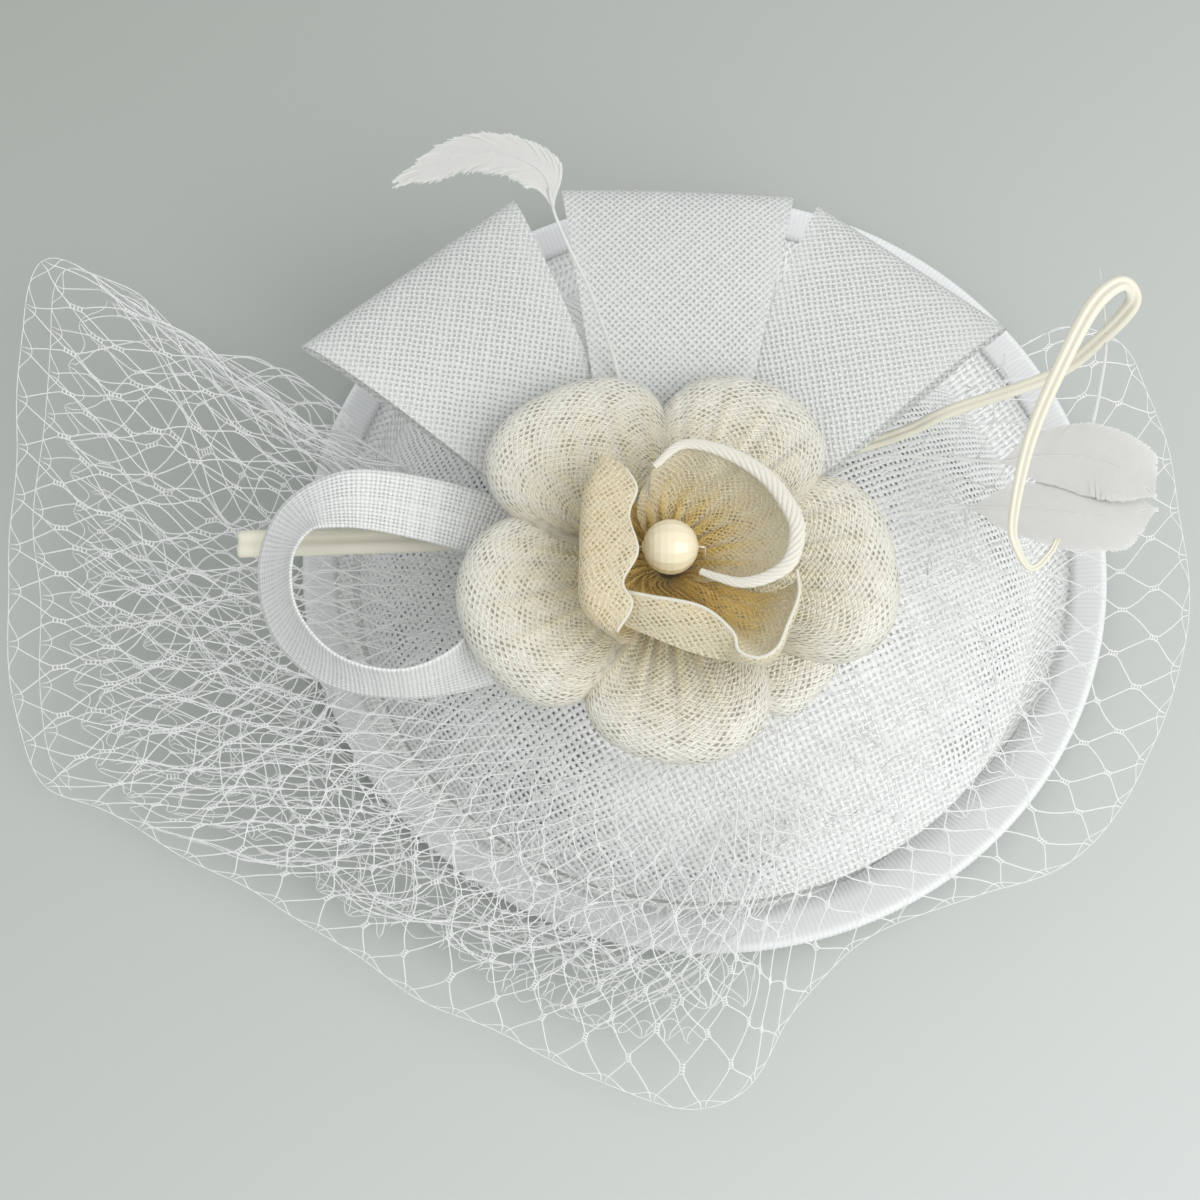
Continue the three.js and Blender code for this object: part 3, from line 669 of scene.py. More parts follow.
def quill():
    """Stripped quill with a groove along its upper face, flattened where it is thick."""
    steps, sides = 320, 28
    line = smooth(QUILL_ROUTE, steps)
    part = np.linspace(0, 1, steps)
    half = np.interp(part, (0, 0.25, 0.42, 0.6, 0.75, 0.9, 1), (3.3, 2.9, 1.7, 1.5, 1.95, 1.3, 0.6))
    high = np.maximum(half * 0.5, 0.45)
    turn = np.arange(sides) * 2 * math.pi / sides
    groove = np.exp(-((turn - math.pi / 2) / 0.24) ** 2)
    lips = np.exp(-((np.abs(turn - math.pi / 2) - 0.5) / 0.28) ** 2)
    outline = np.sin(turn) - 0.55 * groove + 0.14 * lips
    across, over = frame_along(line)
    points = (line[:, None]
              + across[:, None] * (half[:, None] * np.cos(turn))[..., None]
              + over[:, None] * (high[:, None] * outline)[..., None])
    faces = grid_faces(steps, sides, wrap_columns=True).tolist()
    faces += end_faces(steps, sides)
    flat = stacked(part[:, None] * 0.3, turn * 0.003)
    look = Look("quill_horn", Roughness=0.38, Coat_Weight=0.25, Coat_Roughness=0.3)
    streaks = look.vector("MULTIPLY", look.cloth(), (30.0, 900.0, 1.0))
    grain = look.noise(1.0, 3.0, streaks)
    tone = look.mix(grain, (0.82, 0.78, 0.62), (0.92, 0.91, 0.84))
    patches = look.noise(35.0, 2.0)
    tone = look.mix(look.times(patches, 0.3), tone, (0.82, 0.77, 0.56))
    look.colour_from(tone)
    look.bump(grain, 0.12 * MM)
    look.glow(0.12, (0.93, 0.88, 0.7))
    make_piece("quill_stem", points.reshape(-1, 3), faces, look.material, "quill_horn",
               replaces=["quill"], cloth_uv=flat.reshape(-1, 2))


def shaft(name, points, radii, look, replaces):
    line = smooth(points, 60)
    shell = tube_shells(line[None], np.linspace(*radii, 60)[None], 10)
    make_piece(name, *shell, look, "feather", replaces=replaces)


def vane(name, route, half_widths, count, lean, fray, seed, look, replaces):
    """A feather's web: barbs that leave the spine on both sides and lean towards its tip."""
    chance = np.random.default_rng(seed)
    spine = smooth(route, 120)
    left, over = frame_along(spine)
    start = np.repeat(np.linspace(0, 0.995, count), 2)
    side = np.tile([-1.0, 1.0], count)
    number = len(start)
    t = np.linspace(0, 1, 9)[None, :]
    length = 1 + fray * (chance.random(number) - 0.6) * (0.25 + start ** 2)
    s = start[:, None] + lean * t * length[:, None]
    bend = side[:, None] * np.interp(s, *np.array(half_widths).T) * t ** 0.75 * length[:, None]
    bend *= np.sqrt(np.clip((1 - start) / 0.2, 0.01, 1))[:, None]
    bend += chance.normal(0, fray, number)[:, None] * t ** 2
    beyond = np.maximum(s - 1, 0)
    centre, sideways, upwards = at(spine, s), at(left, s), at(over, s)
    ahead = unit(spine[-1] - spine[-4]) * distances(spine)[-1]
    droop = chance.normal(0, 1.2 * fray, number)[:, None] * t ** 2 - 0.012 * bend ** 2
    lines = (centre + sideways * bend[..., None] + upwards * droop[..., None]
             + ahead * beyond[..., None])
    along = unit(np.gradient(lines, axis=1))
    widths = 0.6 * (1 - 0.6 * t ** 2) * (0.8 + 0.4 * chance.random(number))[:, None]
    strips = ribbon_shells(lines, unit(np.cross(along, upwards)), widths)
    rib = tube_shells(spine[None, :100], np.linspace(0.35, 0.12, 100)[None], 8)
    make_piece(name, *together(strips, rib), look, "feather", replaces=replaces)


FEATHERS = {  # stem route, its radii, web route, [share, half width], barbs, lean, fray, seed
    "flag_feather": (
        [(-17.5, 5, 57), (-20.5, 18, 57.2), (-23, 26.5, 61), (-26, 30.5, 72), (-28.5, 33.5, 81),
         (-32.5, 38, 90), (-35.6, 43.2, 95.5), (-37, 48, 98)], (0.6, 0.3),
        [(-36, 44.5, 96.5), (-38, 51, 98.6), (-45, 55.5, 99), (-55, 56.5, 98.4), (-64, 53, 97)],
        [(0, 0.8), (0.2, 4.8), (0.6, 4.8), (0.9, 3.6), (1.1, 2)], 260, 0.2, 0.22, 11),
    "side_feather_back": (
        [(15, -5.5, 51.6), (35.5, 4.5, 52.6), (51, 4, 54.8), (62.6, 2.3, 57), (66, 2.2, 57.8)],
        (0.45, 0.3),
        [(64.1, 2.1, 57.2), (72.7, 2.9, 58.9), (83.2, 1.8, 60.8), (89.5, -1, 61.8), (93.5, -5, 62.2)],
        [(0, 0.6), (0.25, 6), (0.6, 9), (0.9, 8.5), (1.04, 6), (1.13, 1)], 420, 0.16, 0.1, 12),
    "side_feather_front": (
        [(12, -21, 50.4), (37, -9.5, 51.2), (47, -8, 52.6), (55, -7.8, 54.4), (58, -8, 55.2)],
        (0.45, 0.3),
        [(56.6, -7.8, 54.8), (65.6, -8.9, 57), (76.2, -10.6, 59), (85.7, -11.9, 60.2), (92, -11.3, 60.5)],
        [(0, 0.6), (0.25, 5.5), (0.6, 8.5), (0.9, 8), (1.04, 6), (1.13, 1)], 420, 0.16, 0.1, 13),
}
NEEDLE_ROUTE = [(84, 9.0, 63.5), (85.4, 16, 67), (86.3, 25.2, 72), (84.7, 39.9, 78)]


def feathers():
    look = plain_look("feather_white", (700.0, 3.0), ((0.80, 0.80, 0.77), (0.88, 0.88, 0.86)),
                      (5000.0, 1.0, 0.02), (0.4, (0.96, 0.96, 0.94)), Roughness=0.75,
                      Sheen_Weight=0.3)
    for name, (stem_route, radii, web_route, *web) in FEATHERS.items():
        shaft(f"{name}_stem", stem_route, radii, look, [f"{name}_shaft"])
        vane(f"{name}_web", web_route, *web, look, [f"{name}_vane"])
    shaft("side_feather_needle", NEEDLE_ROUTE, (0.5, 0.12), look, [])


# ---- veil

VEIL_EDGE = smooth([
    (-105.5, 18.4, 34), (-130, 43.5, 28), (-148, 61, 29), (-166, 69, 28), (-170, 25, 20),
    (-169, -25, 11), (-161, -57, 8), (-143, -69, 8), (-96, -92, 8), (-56, -115, 8),
    (-17, -133, 8), (6, -133, 9), (20, -112, 12), (35, -98.5, 14), (60, -89.5, 15),
    (82, -80, 16), (96, -67, 18), (104, -52, 19), (113, -29, 22), (114, -10, 24),
    (112, 12, 27), (108, 32, 30), (102, 43, 32), (88, 47, 34), (78, 44, 34)], 800)
VEIL_BEARINGS = ((0, 0.28, 0.5, 0.7, 1), (150, 195, 260, 305, 392))  # share of edge, degrees
GATHER_RADIUS = 36.0
THREAD = 0.175
SELVAGE_THREAD = 0.12
SELVAGE_STEPS = 1000


def waves(u, v, chance, size):
    """A smooth, uneven shift that depends on the place in the netting."""
    shift = np.zeros(np.broadcast(u, v).shape)
    for strength, across, down in ((1.0, 19, 3.0), (0.7, 37, 7.0), (0.55, 71, 13.0), (0.4, 123, 23.0)):
        phase = chance.random(2) * 2 * math.pi
        shift = shift + strength * np.sin(across * u + phase[0] + 2.0 * v) * np.sin(down * v + phase[1])
    return size * shift


def veil_place(u, v, layer):
    """Where the netting lies: u along the outer edge, v outwards from the flower."""
    chance = np.random.default_rng(layer["seed"])
    s = layer["inner"] + (1 - layer["inner"]) * np.expm1(0.9 * v) / math.expm1(0.9)
    turned = np.clip(u + layer["lean"] * (1 - s) * np.sin(math.pi * np.clip(s, 0, 1)) * 2, 0, 1)
    edge = at(VEIL_EDGE, turned)
    root = from_flower(GATHER_RADIUS, np.interp(turned, *VEIL_BEARINGS), 0.0)
    root[..., 2] = crown_height(root[..., 0], root[..., 1]) + layer["lift"]
    out = (s * layer["reach"])[..., None]
    points = root + (edge - root) * out
    loose = np.sin(math.pi * np.clip(s, 0, 1)) * 0.9 + 0.5 * s
    points[..., 0] += waves(u, s, chance, layer["shift"]) * loose
    points[..., 1] += waves(u, s, chance, layer["shift"]) * loose
    points[..., 2] += layer["puff"] * np.sin(math.pi * out[..., 0]) - layer["drop"] * s
    points[..., 2] += waves(u, s, chance, 1.2) * loose
    cover = crown_height(points[..., 0], points[..., 1]) + 1.0 + 0.5 * layer["lift"]
    points[..., 2] = np.maximum(points[..., 2], np.maximum(cover, 1.2))
    return points


def netting(layer):
    """Strands that run outwards side by side, and join in turn with each neighbour."""
    strands, rows = layer["strands"], layer["rows"]
    low, high = layer["span"]
    k = np.arange(strands)[:, None]
    stops, shares = [], []
    for j in range(rows + 1):
        join = np.where((j + k) % 2 == 0, 0.43, -0.43)
        for end in (-0.13, 0.13):
            stops.append((j + end) / rows)
            shares.append(join)
    stops = np.clip(np.array(stops), 0, 1)
    shares = np.concatenate(shares, axis=1)
    fine = np.linspace(0, 1, rows * 6 + 1)
    sideways = np.stack([np.interp(fine, stops, row) for row in shares])
    u = low + (high - low) * np.clip((k + sideways + 0.5) / strands, 0, 1)
    shells = [tube_shells(veil_place(u, np.broadcast_to(fine, u.shape), layer), THREAD, 4)]
    j = np.arange(1, rows)[None, :, None]
    pair = np.arange(strands - 1)[:, None, None]
    bar = np.array([-0.12, -0.04, 0.04, 0.12])[None, None, :]
    chosen = np.broadcast_to((j + pair) % 2 == 0, (strands - 1, rows - 1, 4))
    bar_v = np.broadcast_to((j + bar) / rows, chosen.shape)[chosen]
    middle = np.broadcast_to(pair + 1.0, chosen.shape)[chosen]
    ends = [low + (high - low) * (middle + side) / strands for side in (-0.12, 0.12)]
    bars = np.stack([veil_place(end, bar_v, layer) for end in ends], axis=1)
    shells.append(tube_shells(bars, THREAD * 1.15, 4))
    u = np.linspace(low, high, SELVAGE_STEPS)
    scallops = np.sin(math.pi * (u - low) * strands / (2 * (high - low))) ** 2
    edges = [veil_place(u, 1 - (0.22 if layer["selvage"] else 0.4) * scallops / rows, layer)]
    if layer["selvage"]:
        edges.append(veil_place(u, np.ones(SELVAGE_STEPS), layer))
    shells.append(tube_shells(np.array(edges), SELVAGE_THREAD, 4))
    return together(*shells)


LAYER_FIELDS = ("span", "reach", "strands", "rows", "lift", "drop", "puff", "shift", "lean", "seed")


def veil_layer(*values, selvage=False, inner=0.0):
    return dict(zip(LAYER_FIELDS, values), selvage=selvage, inner=inner)


VEIL_LAYERS = {
    "veil_upper": [
        veil_layer((0, 1), 1.0, 106, 14, 1.9, 0, 4, 1.8, 0.0, 21, selvage=True),
        veil_layer((0, 0.33), 0.95, 38, 14, 1.4, 2.5, 2, 3.0, 0.04, 25, selvage=True),
    ],
    "veil_lower_left": [
        veil_layer((0.03, 0.46), 0.88, 50, 9, 0.9, 4, 2, 5.0, -0.05, 22, inner=0.42),
        veil_layer((0.22, 0.6), 0.82, 46, 8, 1.2, 5, 1, 6.0, 0.06, 23, inner=0.45),
        veil_layer((0.26, 0.62), 0.74, 46, 7, 0.6, 5, 1, 6.5, -0.07, 26, inner=0.4),
        veil_layer((0.2, 0.58), 0.86, 48, 8, 1.5, 5, 2, 7.0, 0.09, 27, inner=0.5),
    ],
    "veil_lower_front": [
        veil_layer((0.42, 0.9), 0.68, 38, 7, 0.9, 4, 3, 4.5, 0.05, 24, inner=0.35),
    ],
}


def veil():
    look = plain_look("netting_thread", (1500.0, 2.0), ((0.93, 0.94, 0.93), (0.98, 0.99, 0.98)),
                      (9000.0, 1.0, 0.02), (0.15, (0.98, 0.99, 0.98)), Roughness=0.4,
                      Sheen_Weight=0.3)
    for node, layers in VEIL_LAYERS.items():
        shells = [netting(layer) for layer in layers]
        make_piece(f"{node}_netting", *together(*shells), look, "veil_net", replaces=[node])


# ---- flower

OUTER_PETALS = {  # bearing, spread, near, far, floor, top and tilt
    "back_left": (127, 43, 6, 49, 57.5, 69.5, 2.0),
    "back_right": (60, 39, 6, 48, 57.5, 68.5, -1.5),
    "right": (-1, 40, 6, 50.5, 53.2, 67.5, 1.5),
    "front_right": (-40, 24, 6, 43, 52.3, 61, -1.0),
    "front": (-86, 45, 6, 43.5, 52.6, 64.5, 1.0),
    "left": (199, 46, 6, 46.5, 53.5, 68, -2.0),
}


def outer_petal(place, bearing, spread, near, far, floor, top, tilt, look, seed):
    """A folded strip gathered along both raw edges: its fold puffs outwards as a hollow roll."""
    around = np.linspace(-1, 1, 97)[:, None]
    over = np.linspace(0, 1, 65)[None, :]
    swell = 0.12 + 0.88 * np.maximum(1 - np.abs(around) ** 3.0, 0) ** 0.45
    out = ((1 - np.cos(2 * math.pi * over)) / 2) ** 0.6
    pleats = np.sin(24 * around + seed) + 0.6 * np.sin(41 * around + 2 * seed)
    distance = near + (far - near) * swell * out + 0.7 * np.sin(5 * around + seed) * out
    middle = floor + 0.52 * (top - floor)
    rise = np.sin(2 * math.pi * over) * (0.25 + 0.75 * out) * np.sqrt(swell)
    height = middle + 0.5 * (top - floor) * rise + tilt * around * (0.3 + 0.7 * out)
    height = height + 0.6 * pleats * np.exp(-(out / 0.55) ** 2) + 0.08 * pleats * out
    height = height - 1.5 * (1 - out)
    angle = bearing + spread * around * (0.86 + 0.14 * out)
    points = from_flower(distance, angle, height)
    along = distances(points[48])
    arc = math.radians(spread) * (near + far) * 0.5 * 1.2
    flat = flat_place(arc * around, along)
    # Painted golden shade, most near the flower's middle, in the pleats, at the strip's ends where it goes
    # under its neighbours, and on its underside half.
    deep = (1 - out) ** 1.2 * np.ones_like(around) + 0.6 * np.abs(around) ** 6
    marks = {
        "golden_shade": np.clip(deep * (1 + 0.3 * pleats) + 0.2 * (over > 0.5), 0, 1),
        "closed": np.clip((over - 0.5) * 12, 0.3, 1) * np.ones_like(around),
    }
    piece = grid_piece(f"petal_cloth_{place}", points, look, "petal_sinamay", flat, marks=marks,
                       replaces=[f"outer_petal_{place}"])


INNER_PETALS = {
    "left": [
        [(-13, -22, 63), (-14.2, -24.5, 63), (-13, -27, 63)],
        [(-15, -17.5, 66.5), (-17.5, -21, 66.3), (-17.8, -25, 66.3), (-17, -29, 66.3),
         (-14, -31, 66.5)],
        [(-21, -8, 69.5), (-25.5, -15.5, 69), (-26.5, -26, 69), (-25, -37, 69), (-19, -43, 69.5)],
        [(-25.5, -4.6, 74), (-29.4, -14, 74), (-30.2, -27, 74.5), (-29.4, -39, 74), (-21, -46.2, 74)],
        [(-26, -5.2, 78.2), (-28.6, -15, 79.2), (-29, -27.5, 79.6), (-28.6, -38.5, 78.8),
         (-22.2, -46.4, 76.6)],
        [(-21.5, -7.5, 79.8), (-19.8, -13, 80), (-21, -19, 80.4), (-19.6, -27.5, 80.6), (-22.3, -34.5, 80),
         (-20.5, -39, 79), (-22.8, -45, 77.8)],
        [(-20.6, -8.5, 79), (-18.3, -13.2, 79.3), (-20, -19.5, 79.5), (-18.2, -27.5, 79.8),
         (-21.3, -34.2, 79.2), (-19.4, -39, 78.4), (-22.6, -44.6, 77.2)],
    ],
    "right": [
        [(-13.5, -22.5, 63), (-11, -21.2, 63), (-8.2, -23, 63), (-8, -26, 63), (-9.5, -27.5, 63)],
        [(-16, -19.5, 66.8), (-11, -17, 66.6), (-6, -19, 66.5), (-4.2, -24.5, 66.5), (-6.5, -29.6, 66.6)],
        [(-18, -15.5, 70), (-12, -9.5, 69.4), (-4.5, -12, 69), (3.5, -17, 69), (6, -24, 69),
         (3, -29, 69), (-3, -31, 69.5)],
        [(-17, -12, 76), (-13, -6.2, 76), (-6.5, -4.6, 75), (-2.5, -8, 73.6), (4, -7.4, 74.4),
         (11.5, -14, 74.2), (13.2, -23, 74.2), (10.5, -29.5, 74), (4, -32, 73.8), (-3, -31.5, 74)],
        [(-15.4, -15.4, 77.2), (-14.5, -8, 78.6), (-8.2, -3.1, 79.2), (0.9, -5, 79.4), (9.5, -10.8, 79.4),
         (14.6, -18.8, 79.4), (15.5, -24, 79.4), (13.6, -30, 79.2), (8.9, -33.1, 78.6), (3.7, -34, 78),
         (-1.1, -32.5, 77), (-4.8, -30.7, 75.8)],
    ],
    "front": [
        [(-8.8, -27, 63), (-11, -27.8, 63), (-13.2, -27, 63)],
        [(-5.5, -28, 66.5), (-8, -30.6, 66.4), (-11, -31.2, 66.4), (-14.5, -30.5, 66.5), (-17, -28.5, 66.6)],
        [(8, -33, 69), (4, -40, 68.5), (-4, -37, 68.8), (-12, -35, 69), (-18.5, -33, 69)],
        [(14.6, -33, 74.5), (9.5, -46, 73.5), (1, -43.5, 74), (-9, -37.5, 75), (-20, -34.8, 75)],
        [(15.3, -31, 78), (15.6, -36.5, 78), (12.9, -43.6, 78), (10.7, -48.2, 77.6), (6.9, -50.3, 77.6),
         (2.8, -48.8, 77.6), (1.4, -44.7, 78), (-4.9, -39.4, 78.2), (-15.6, -37, 78), (-20.8, -35.6, 77)],
        [(16, -31.4, 76.8), (16.3, -37, 76.6), (13.6, -44.2, 76.4), (11.2, -49, 76), (6.9, -51.2, 76),
         (2.2, -50, 76), (0.6, -46.6, 76.6), (-5.6, -42.6, 77), (-15.8, -40, 76.6), (-21.5, -38, 76)],
        [(15.8, -34.8, 73.5), (10.6, -49.4, 72.6), (1, -49.4, 72.4), (-8, -47.2, 72.6), (-21.6, -41.5, 73)],
    ],
}
# how much painted golden shade a petal has half way up and above that
OCHRE = {"left": (0.3, 0.25), "right": (0.1, 0.1), "front": (0.6, 0.2)}
HEMS = {  # row, points of it to skip, then what strand_rope takes
    "left": (6, 0, 0.42, 3, 26, 1.0, 0.0),
    "right": (4, 1, 1.9, 6, 6, 0.45, 0.6),
    "front": (4, 0, 0.42, 3, 34, 1.0, 0.0),
}
ROOT_RADIUS = 6.2
ROOT_Z = 47.0
ROOT_ROWS = 14


def strand_rope(path, radius, strands, turns, flatten=1.0, taper=0.0):
    """Round strands wound about a path, which is how a twisted or rolled edge is made. taper is
    how much thinner it is at its ends."""
    steps = 420
    line = smooth(path, steps)
    across, over = frame_along(line)
    radius = radius * (1 - taper + taper * np.sin(np.linspace(0, math.pi, steps)))
    thickness = radius * min(0.5, 2.4 / strands)
    lines = []
    for k in range(strands):
        turn = 2 * math.pi * (turns * np.linspace(0, 1, steps) + k / strands)
        lines.append(line + across * (np.cos(turn) * (radius - thickness))[:, None]
                     + over * (np.sin(turn) * (radius - thickness) * flatten)[:, None])
    return tube_shells(np.array(lines), thickness[None], 6)


def petal_root(first):
    """Rows of the gathered stem that runs from the trim disc up to a petal's first row."""
    across = first - np.array([FLOWER_X, FLOWER_Y, 0])
    foot = across * ROOT_RADIUS / np.hypot(across[:, 0], across[:, 1])[:, None]
    foot += np.array([FLOWER_X, FLOWER_Y, 0])
    foot[:, 2] = ROOT_Z
    part = np.linspace(0, 1, ROOT_ROWS, endpoint=False)[None, :, None]
    return foot[:, None] + (first - foot)[:, None] * part


def inner_petal(place, rows, look, hem_look, seed):
    """A standing petal: from its gathers under the pearl, out, and up to a hem."""
    columns, between = 110, 60
    lines = np.array([smooth(row, columns) for row in rows])
    points = np.array([smooth(lines[:, c], between) for c in range(columns)])
    around = np.linspace(-1, 1, columns)[:, None]
    up = np.linspace(0, 1, between)[None, :]
    pleats = np.sin(31 * around + seed) + 0.5 * np.sin(57 * around)
    points[..., 2] += 0.7 * pleats * np.exp(-((up - 0.2) / 0.22) ** 2)
    # Painted golden shade, most at the gathers under the pearl and in the pleats, then the petal's OCHRE
    # share from half way up; the gathered stem below is in full painted shade.
    deep = np.clip(np.exp(-(up / 0.5) ** 2) * (1 + 0.35 * pleats)
                   + np.interp(up, (0.55, 0.7), OCHRE[place]), 0, 1)
    closed = np.clip((up - 0.6) * 4, 0, 0.4) * np.ones_like(around)
    root = petal_root(points[:, 0])
    points = np.concatenate([root, points], axis=1)
    deep = np.concatenate([np.ones(root.shape[:2]), deep], axis=1)
    closed = np.concatenate([np.zeros(root.shape[:2]), closed], axis=1)
    row_widths = np.linalg.norm(np.diff(points, axis=0), axis=2).sum(axis=0)
    travelled = distances(points[columns // 2])
    width, length = float(row_widths.max()), float(travelled[-1])
    flat = flat_place(around * width / 2, travelled)
    piece = grid_piece(f"petal_cloth_inner_{place}", points, look, "petal_sinamay", flat,
                       marks={"golden_shade": deep, "closed": closed}, replaces=[f"inner_petal_{place}"])
    row, skip, *rope = HEMS[place]
    hem = make_piece(f"petal_hem_{place}", *strand_rope(rows[row][skip:], *rope), hem_look,
                     "petal_sinamay")


BORE_RADIUS = 1.1


def pearl():
    """Moulded bead with rows of small flat facets about its bore, which lies along X."""
    rows, sides = 11, 16
    bore = math.asin(BORE_RADIUS / BEAD_RADIUS)
    angles = np.linspace(bore, math.pi - bore, rows + 1)
    turn = (np.arange(sides) + 0.5) * 2 * math.pi / sides
    away = BEAD_RADIUS * np.sin(angles)[:, None]
    facets = stacked(-BEAD_RADIUS * np.cos(angles)[:, None], away * np.cos(turn), away * np.sin(turn))
    points = facets.reshape(-1, 3) + np.array([FLOWER_X, FLOWER_Y, BEAD_Z])
    faces = grid_faces(rows + 1, sides, wrap_columns=True).tolist()
    last = rows * sides
    faces += [[last + j, last + (j + 1) % sides, (j + 1) % sides, j] for j in range(sides)]
    look = plain_look("pearl_coat", (260.0, 3.0), ((0.80, 0.70, 0.45), (0.92, 0.85, 0.66)),
                      (900.0, 2.0, 0.03), Roughness=0.3, Coat_Weight=0.8, Coat_Roughness=0.08)
    bead = make_piece("pearl", points, faces, look, "pearl", replaces=["pearl_bead"],
                      smooth_faces=False)
    edges = bead.modifiers.new("facet_edges", "BEVEL")
    edges.width = 0.14 * MM
    edges.segments = 2
    edges.limit_method = "NONE"
    half = [(0, BEAD_Z), (6.4, BEAD_Z), (7.4, BEAD_Z - 2.5), (7, 62), (3, 47.0)]
    path = [(FLOWER_X - x, FLOWER_Y, z) for x, z in half[:0:-1]]
    path += [(FLOWER_X + x, FLOWER_Y, z) for x, z in half]
    thread = plain_look("sewing_thread", (2500.0,), ((0.78, 0.70, 0.5), (0.92, 0.87, 0.72)),
                        Roughness=0.6)
    make_piece("pearl_thread", *strand_rope(path, 0.25, 2, 30), thread, "thread",
               replaces=["bead_thread"])


def flower():
    # Each weave's golden tint colours the painted golden shade in the flower's middle.
    outer = sinamay("petal_weave", (0.94, 0.925, 0.84), (0.88, 0.83, 0.64), 1.15 * MM, 0.56,
                    45, 5.0, shade_gold=(1.0, 0.90, 0.62), glow=0.12, coat=0.4,
                    second=11, stretch=1.2)
    inner = sinamay("petal_weave_inner", (0.885, 0.855, 0.71), (0.82, 0.74, 0.48), 1.15 * MM, 0.54,
                    45, 6.0, shade_gold=(1.0, 0.74, 0.29), glow=0.12, coat=0.4,
                    second=13, stretch=1.15)
    hem = plain_look("petal_hem_thread", (1800.0,), ((0.87, 0.84, 0.71), (0.95, 0.93, 0.84)),
                     glow=(0.2, (0.95, 0.93, 0.86)), Roughness=0.35, Sheen_Weight=0.3)
    for number, (place, shape) in enumerate(OUTER_PETALS.items()):
        outer_petal(place, *shape, outer, 1.7 * number)
    for number, (place, rows) in enumerate(INNER_PETALS.items()):
        inner_petal(place, rows, inner, hem, 2.3 * number)
    pearl()


# ---- felt and hair clips

PAD_RADIUS = 31.0
PAD_FLOOR = 36.6
TRIM_DISC_RADIUS = 18.0


def felt_round(name, x, y, profile, look, replaces):
    """A round felt piece from its [radius, height] outline, with a slightly uneven surface."""
    sides = 72
    rows = 60
    outline = evenly(np.array([(r, 0, z) for r, z in profile], float), rows)
    turn = np.arange(sides) * 2 * math.pi / sides
    uneven = 1 + 0.006 * np.sin(7 * turn) + 0.004 * np.sin(13 * turn + 1)
    radius = outline[:, :1] * uneven
    points = stacked(x + radius * np.cos(turn), y + radius * np.sin(turn), outline[:, 2:])
    faces = grid_faces(rows, sides, wrap_columns=True).tolist()
    faces += [face[::-1] for face in end_faces(rows, sides)]
    return make_piece(name, points.reshape(-1, 3), faces, look, "felt", replaces=replaces)


def felt_pieces():
    look = plain_look("felt", (1400.0, 5.0), ((0.68, 0.68, 0.66), (0.88, 0.88, 0.86)),
                      (1400.0, 5.0, 0.3), Roughness=0.95, Sheen_Weight=0.6, Sheen_Roughness=0.6)
    sphere = SPHERE - CLOTH - 0.6
    top = [(r, SPHERE_Z + math.sqrt(sphere ** 2 - r ** 2))
           for r in np.linspace(PAD_RADIUS - 0.6, 0.3, 16)]
    low = [(0.3, PAD_FLOOR), (PAD_RADIUS - 1.2, PAD_FLOOR), (PAD_RADIUS - 0.4, PAD_FLOOR + 0.3),
           (PAD_RADIUS, PAD_FLOOR + 1.0), (PAD_RADIUS, top[0][1] - 0.5)]
    pad = felt_round("felt_pad_round", CROWN_X, CROWN_Y, low + top, look, ["felt_pad"])
    disc = [(0.3, 45.4), (TRIM_DISC_RADIUS - 0.4, 45.4), (TRIM_DISC_RADIUS, 45.7),
            (TRIM_DISC_RADIUS, 46.3), (TRIM_DISC_RADIUS - 0.4, 46.6), (0.3, 46.6)]
    felt_round("trim_disc_felt", FLOWER_X, FLOWER_Y, disc, look, ["trim_disc"])


CLIP_SPACING = 26.0
PIVOT_X = 12.0
PIVOT_Z = 32.0
PLATE_UNDER = 35.4
# how far out from the plate's edge a stitch runs, and its height there
STITCH = [(1.2, PAD_FLOOR + 0.3), (0.7, PAD_FLOOR - 0.9), (-0.2, PLATE_UNDER - 0.25),
          (-1.4, PLATE_UNDER - 0.1)]
COIL_RADIUS = 1.55
COIL_LENGTH = 3.8


def metal_look(name, tone, roughness):
    look = Look(name, Metallic=1.0, Roughness=roughness)
    look.colour_from(look.mix(look.noise(120.0, 3.0), tone, tuple(0.8 * channel for channel in tone)))
    brushed = look.noise(1.0, 2.0, look.vector("MULTIPLY", look.place(), (300.0, 5000.0, 5000.0)))
    look.bump(brushed, 0.01 * MM)
    return look.material


def refined(name, node, body, look):
    """The same shape as a CAD node, with its sharp edges rounded."""
    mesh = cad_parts[node].data.copy()
    set_look(mesh, look)
    shape = bmesh.new()
    shape.from_mesh(mesh)
    bmesh.ops.remove_doubles(shape, verts=shape.verts, dist=0.001 * MM)
    bmesh.ops.dissolve_limit(shape, angle_limit=math.radians(1), verts=shape.verts, edges=shape.edges)
    shape.to_mesh(mesh)
    shape.free()
    piece = add_object(name, mesh)
    edges = piece.modifiers.new("rounded_edges", "BEVEL")
    edges.width = 0.16 * MM
    edges.segments = 3
    edges.limit_method = "ANGLE"
    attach(piece, body)
    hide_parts(node)


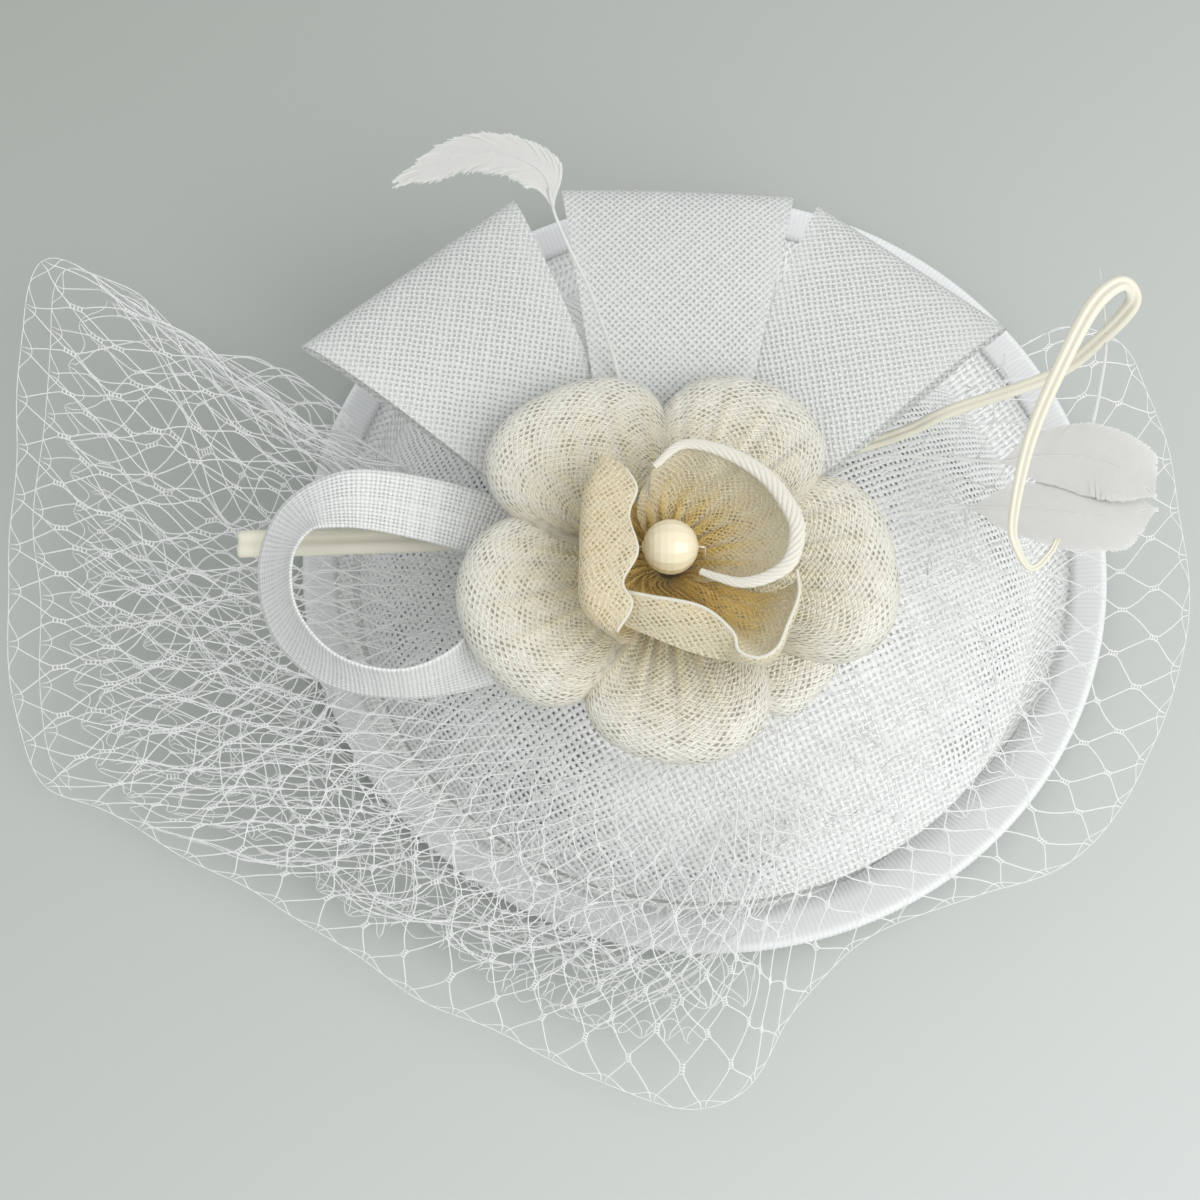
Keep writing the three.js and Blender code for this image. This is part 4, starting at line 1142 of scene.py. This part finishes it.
def hair_clip(place, y, plated, wire, thread):
    refined(f"clip_plate_{place}", f"hair_clip_{place}_plate", HEADPIECE, plated)
    refined(f"clip_lever_{place}", f"hair_clip_{place}_lever", f"{place}_clip_lever", plated)
    set_look(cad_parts[f"hair_clip_{place}_pin"].data, wire)
    pivot = CROWN_X + PIVOT_X
    coil = []
    for turn in np.linspace(0.5 * math.pi, 9.5 * math.pi, 140):
        coil.append((pivot + COIL_RADIUS * math.cos(turn),
                     y + COIL_LENGTH * (turn / (10 * math.pi) - 0.5),
                     PIVOT_Z + COIL_RADIUS * math.sin(turn)))
    leg = [(pivot - 9, coil[0][1], PLATE_UNDER - 0.45), (pivot - 4, coil[0][1], PLATE_UNDER - 0.45)]
    line = smooth(leg + coil, 420)
    shell = tube_shells(line[None], 0.3, 8, up=(0.05, 1, 0.02))
    make_piece(f"clip_spring_{place}", *shell, wire, "wire_steel",
               replaces=[f"hair_clip_{place}_spring"])
    stitches = []
    for x in (-19, -13, -5, 3):
        for side in (-1, 1):
            for shift in (-0.4, 0.4):
                edge = side * 4.2
                at_x = CROWN_X + x + shift
                stitches.append([(at_x, y + edge + side * out, z) for out, z in STITCH])
    lines = np.array([smooth(stitch, 14) for stitch in stitches])
    shell = tube_shells(lines, 0.16, 6, up=(1, 0, 0))
    make_piece(f"clip_stitches_{place}", *shell, thread, "thread")


def hardware():
    plated = metal_look("nickel_plate", (0.72, 0.73, 0.75), 0.28)
    wire = metal_look("spring_wire", (0.6, 0.61, 0.63), 0.35)
    thread = plain_look("white_thread", (2500.0,), ((0.8, 0.8, 0.79), (0.93, 0.93, 0.92)),
                        Roughness=0.6)
    set_look(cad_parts["brim_wire"].data, wire)
    for place, side in (("front", -1), ("back", 1)):
        hair_clip(place, CROWN_Y + side * CLIP_SPACING / 2, plated, wire, thread)


light_and_camera()
base_cloth("crown_cloth", 0.0, base_upper, replaces=["base_dome"])
base_cloth("crown_cloth_under", 0.9, base_under)
binding()
loop_look = sinamay("loop_weave", (0.82, 0.83, 0.81), (0.745, 0.755, 0.735), 1.25 * MM, 0.72, 45,
                    3.0)
for place, shape in LOOPS.items():
    folded_loop(place, *shape, loop_look)
tape_loop()
quill()
feathers()
veil()
flower()
felt_pieces()
hardware()
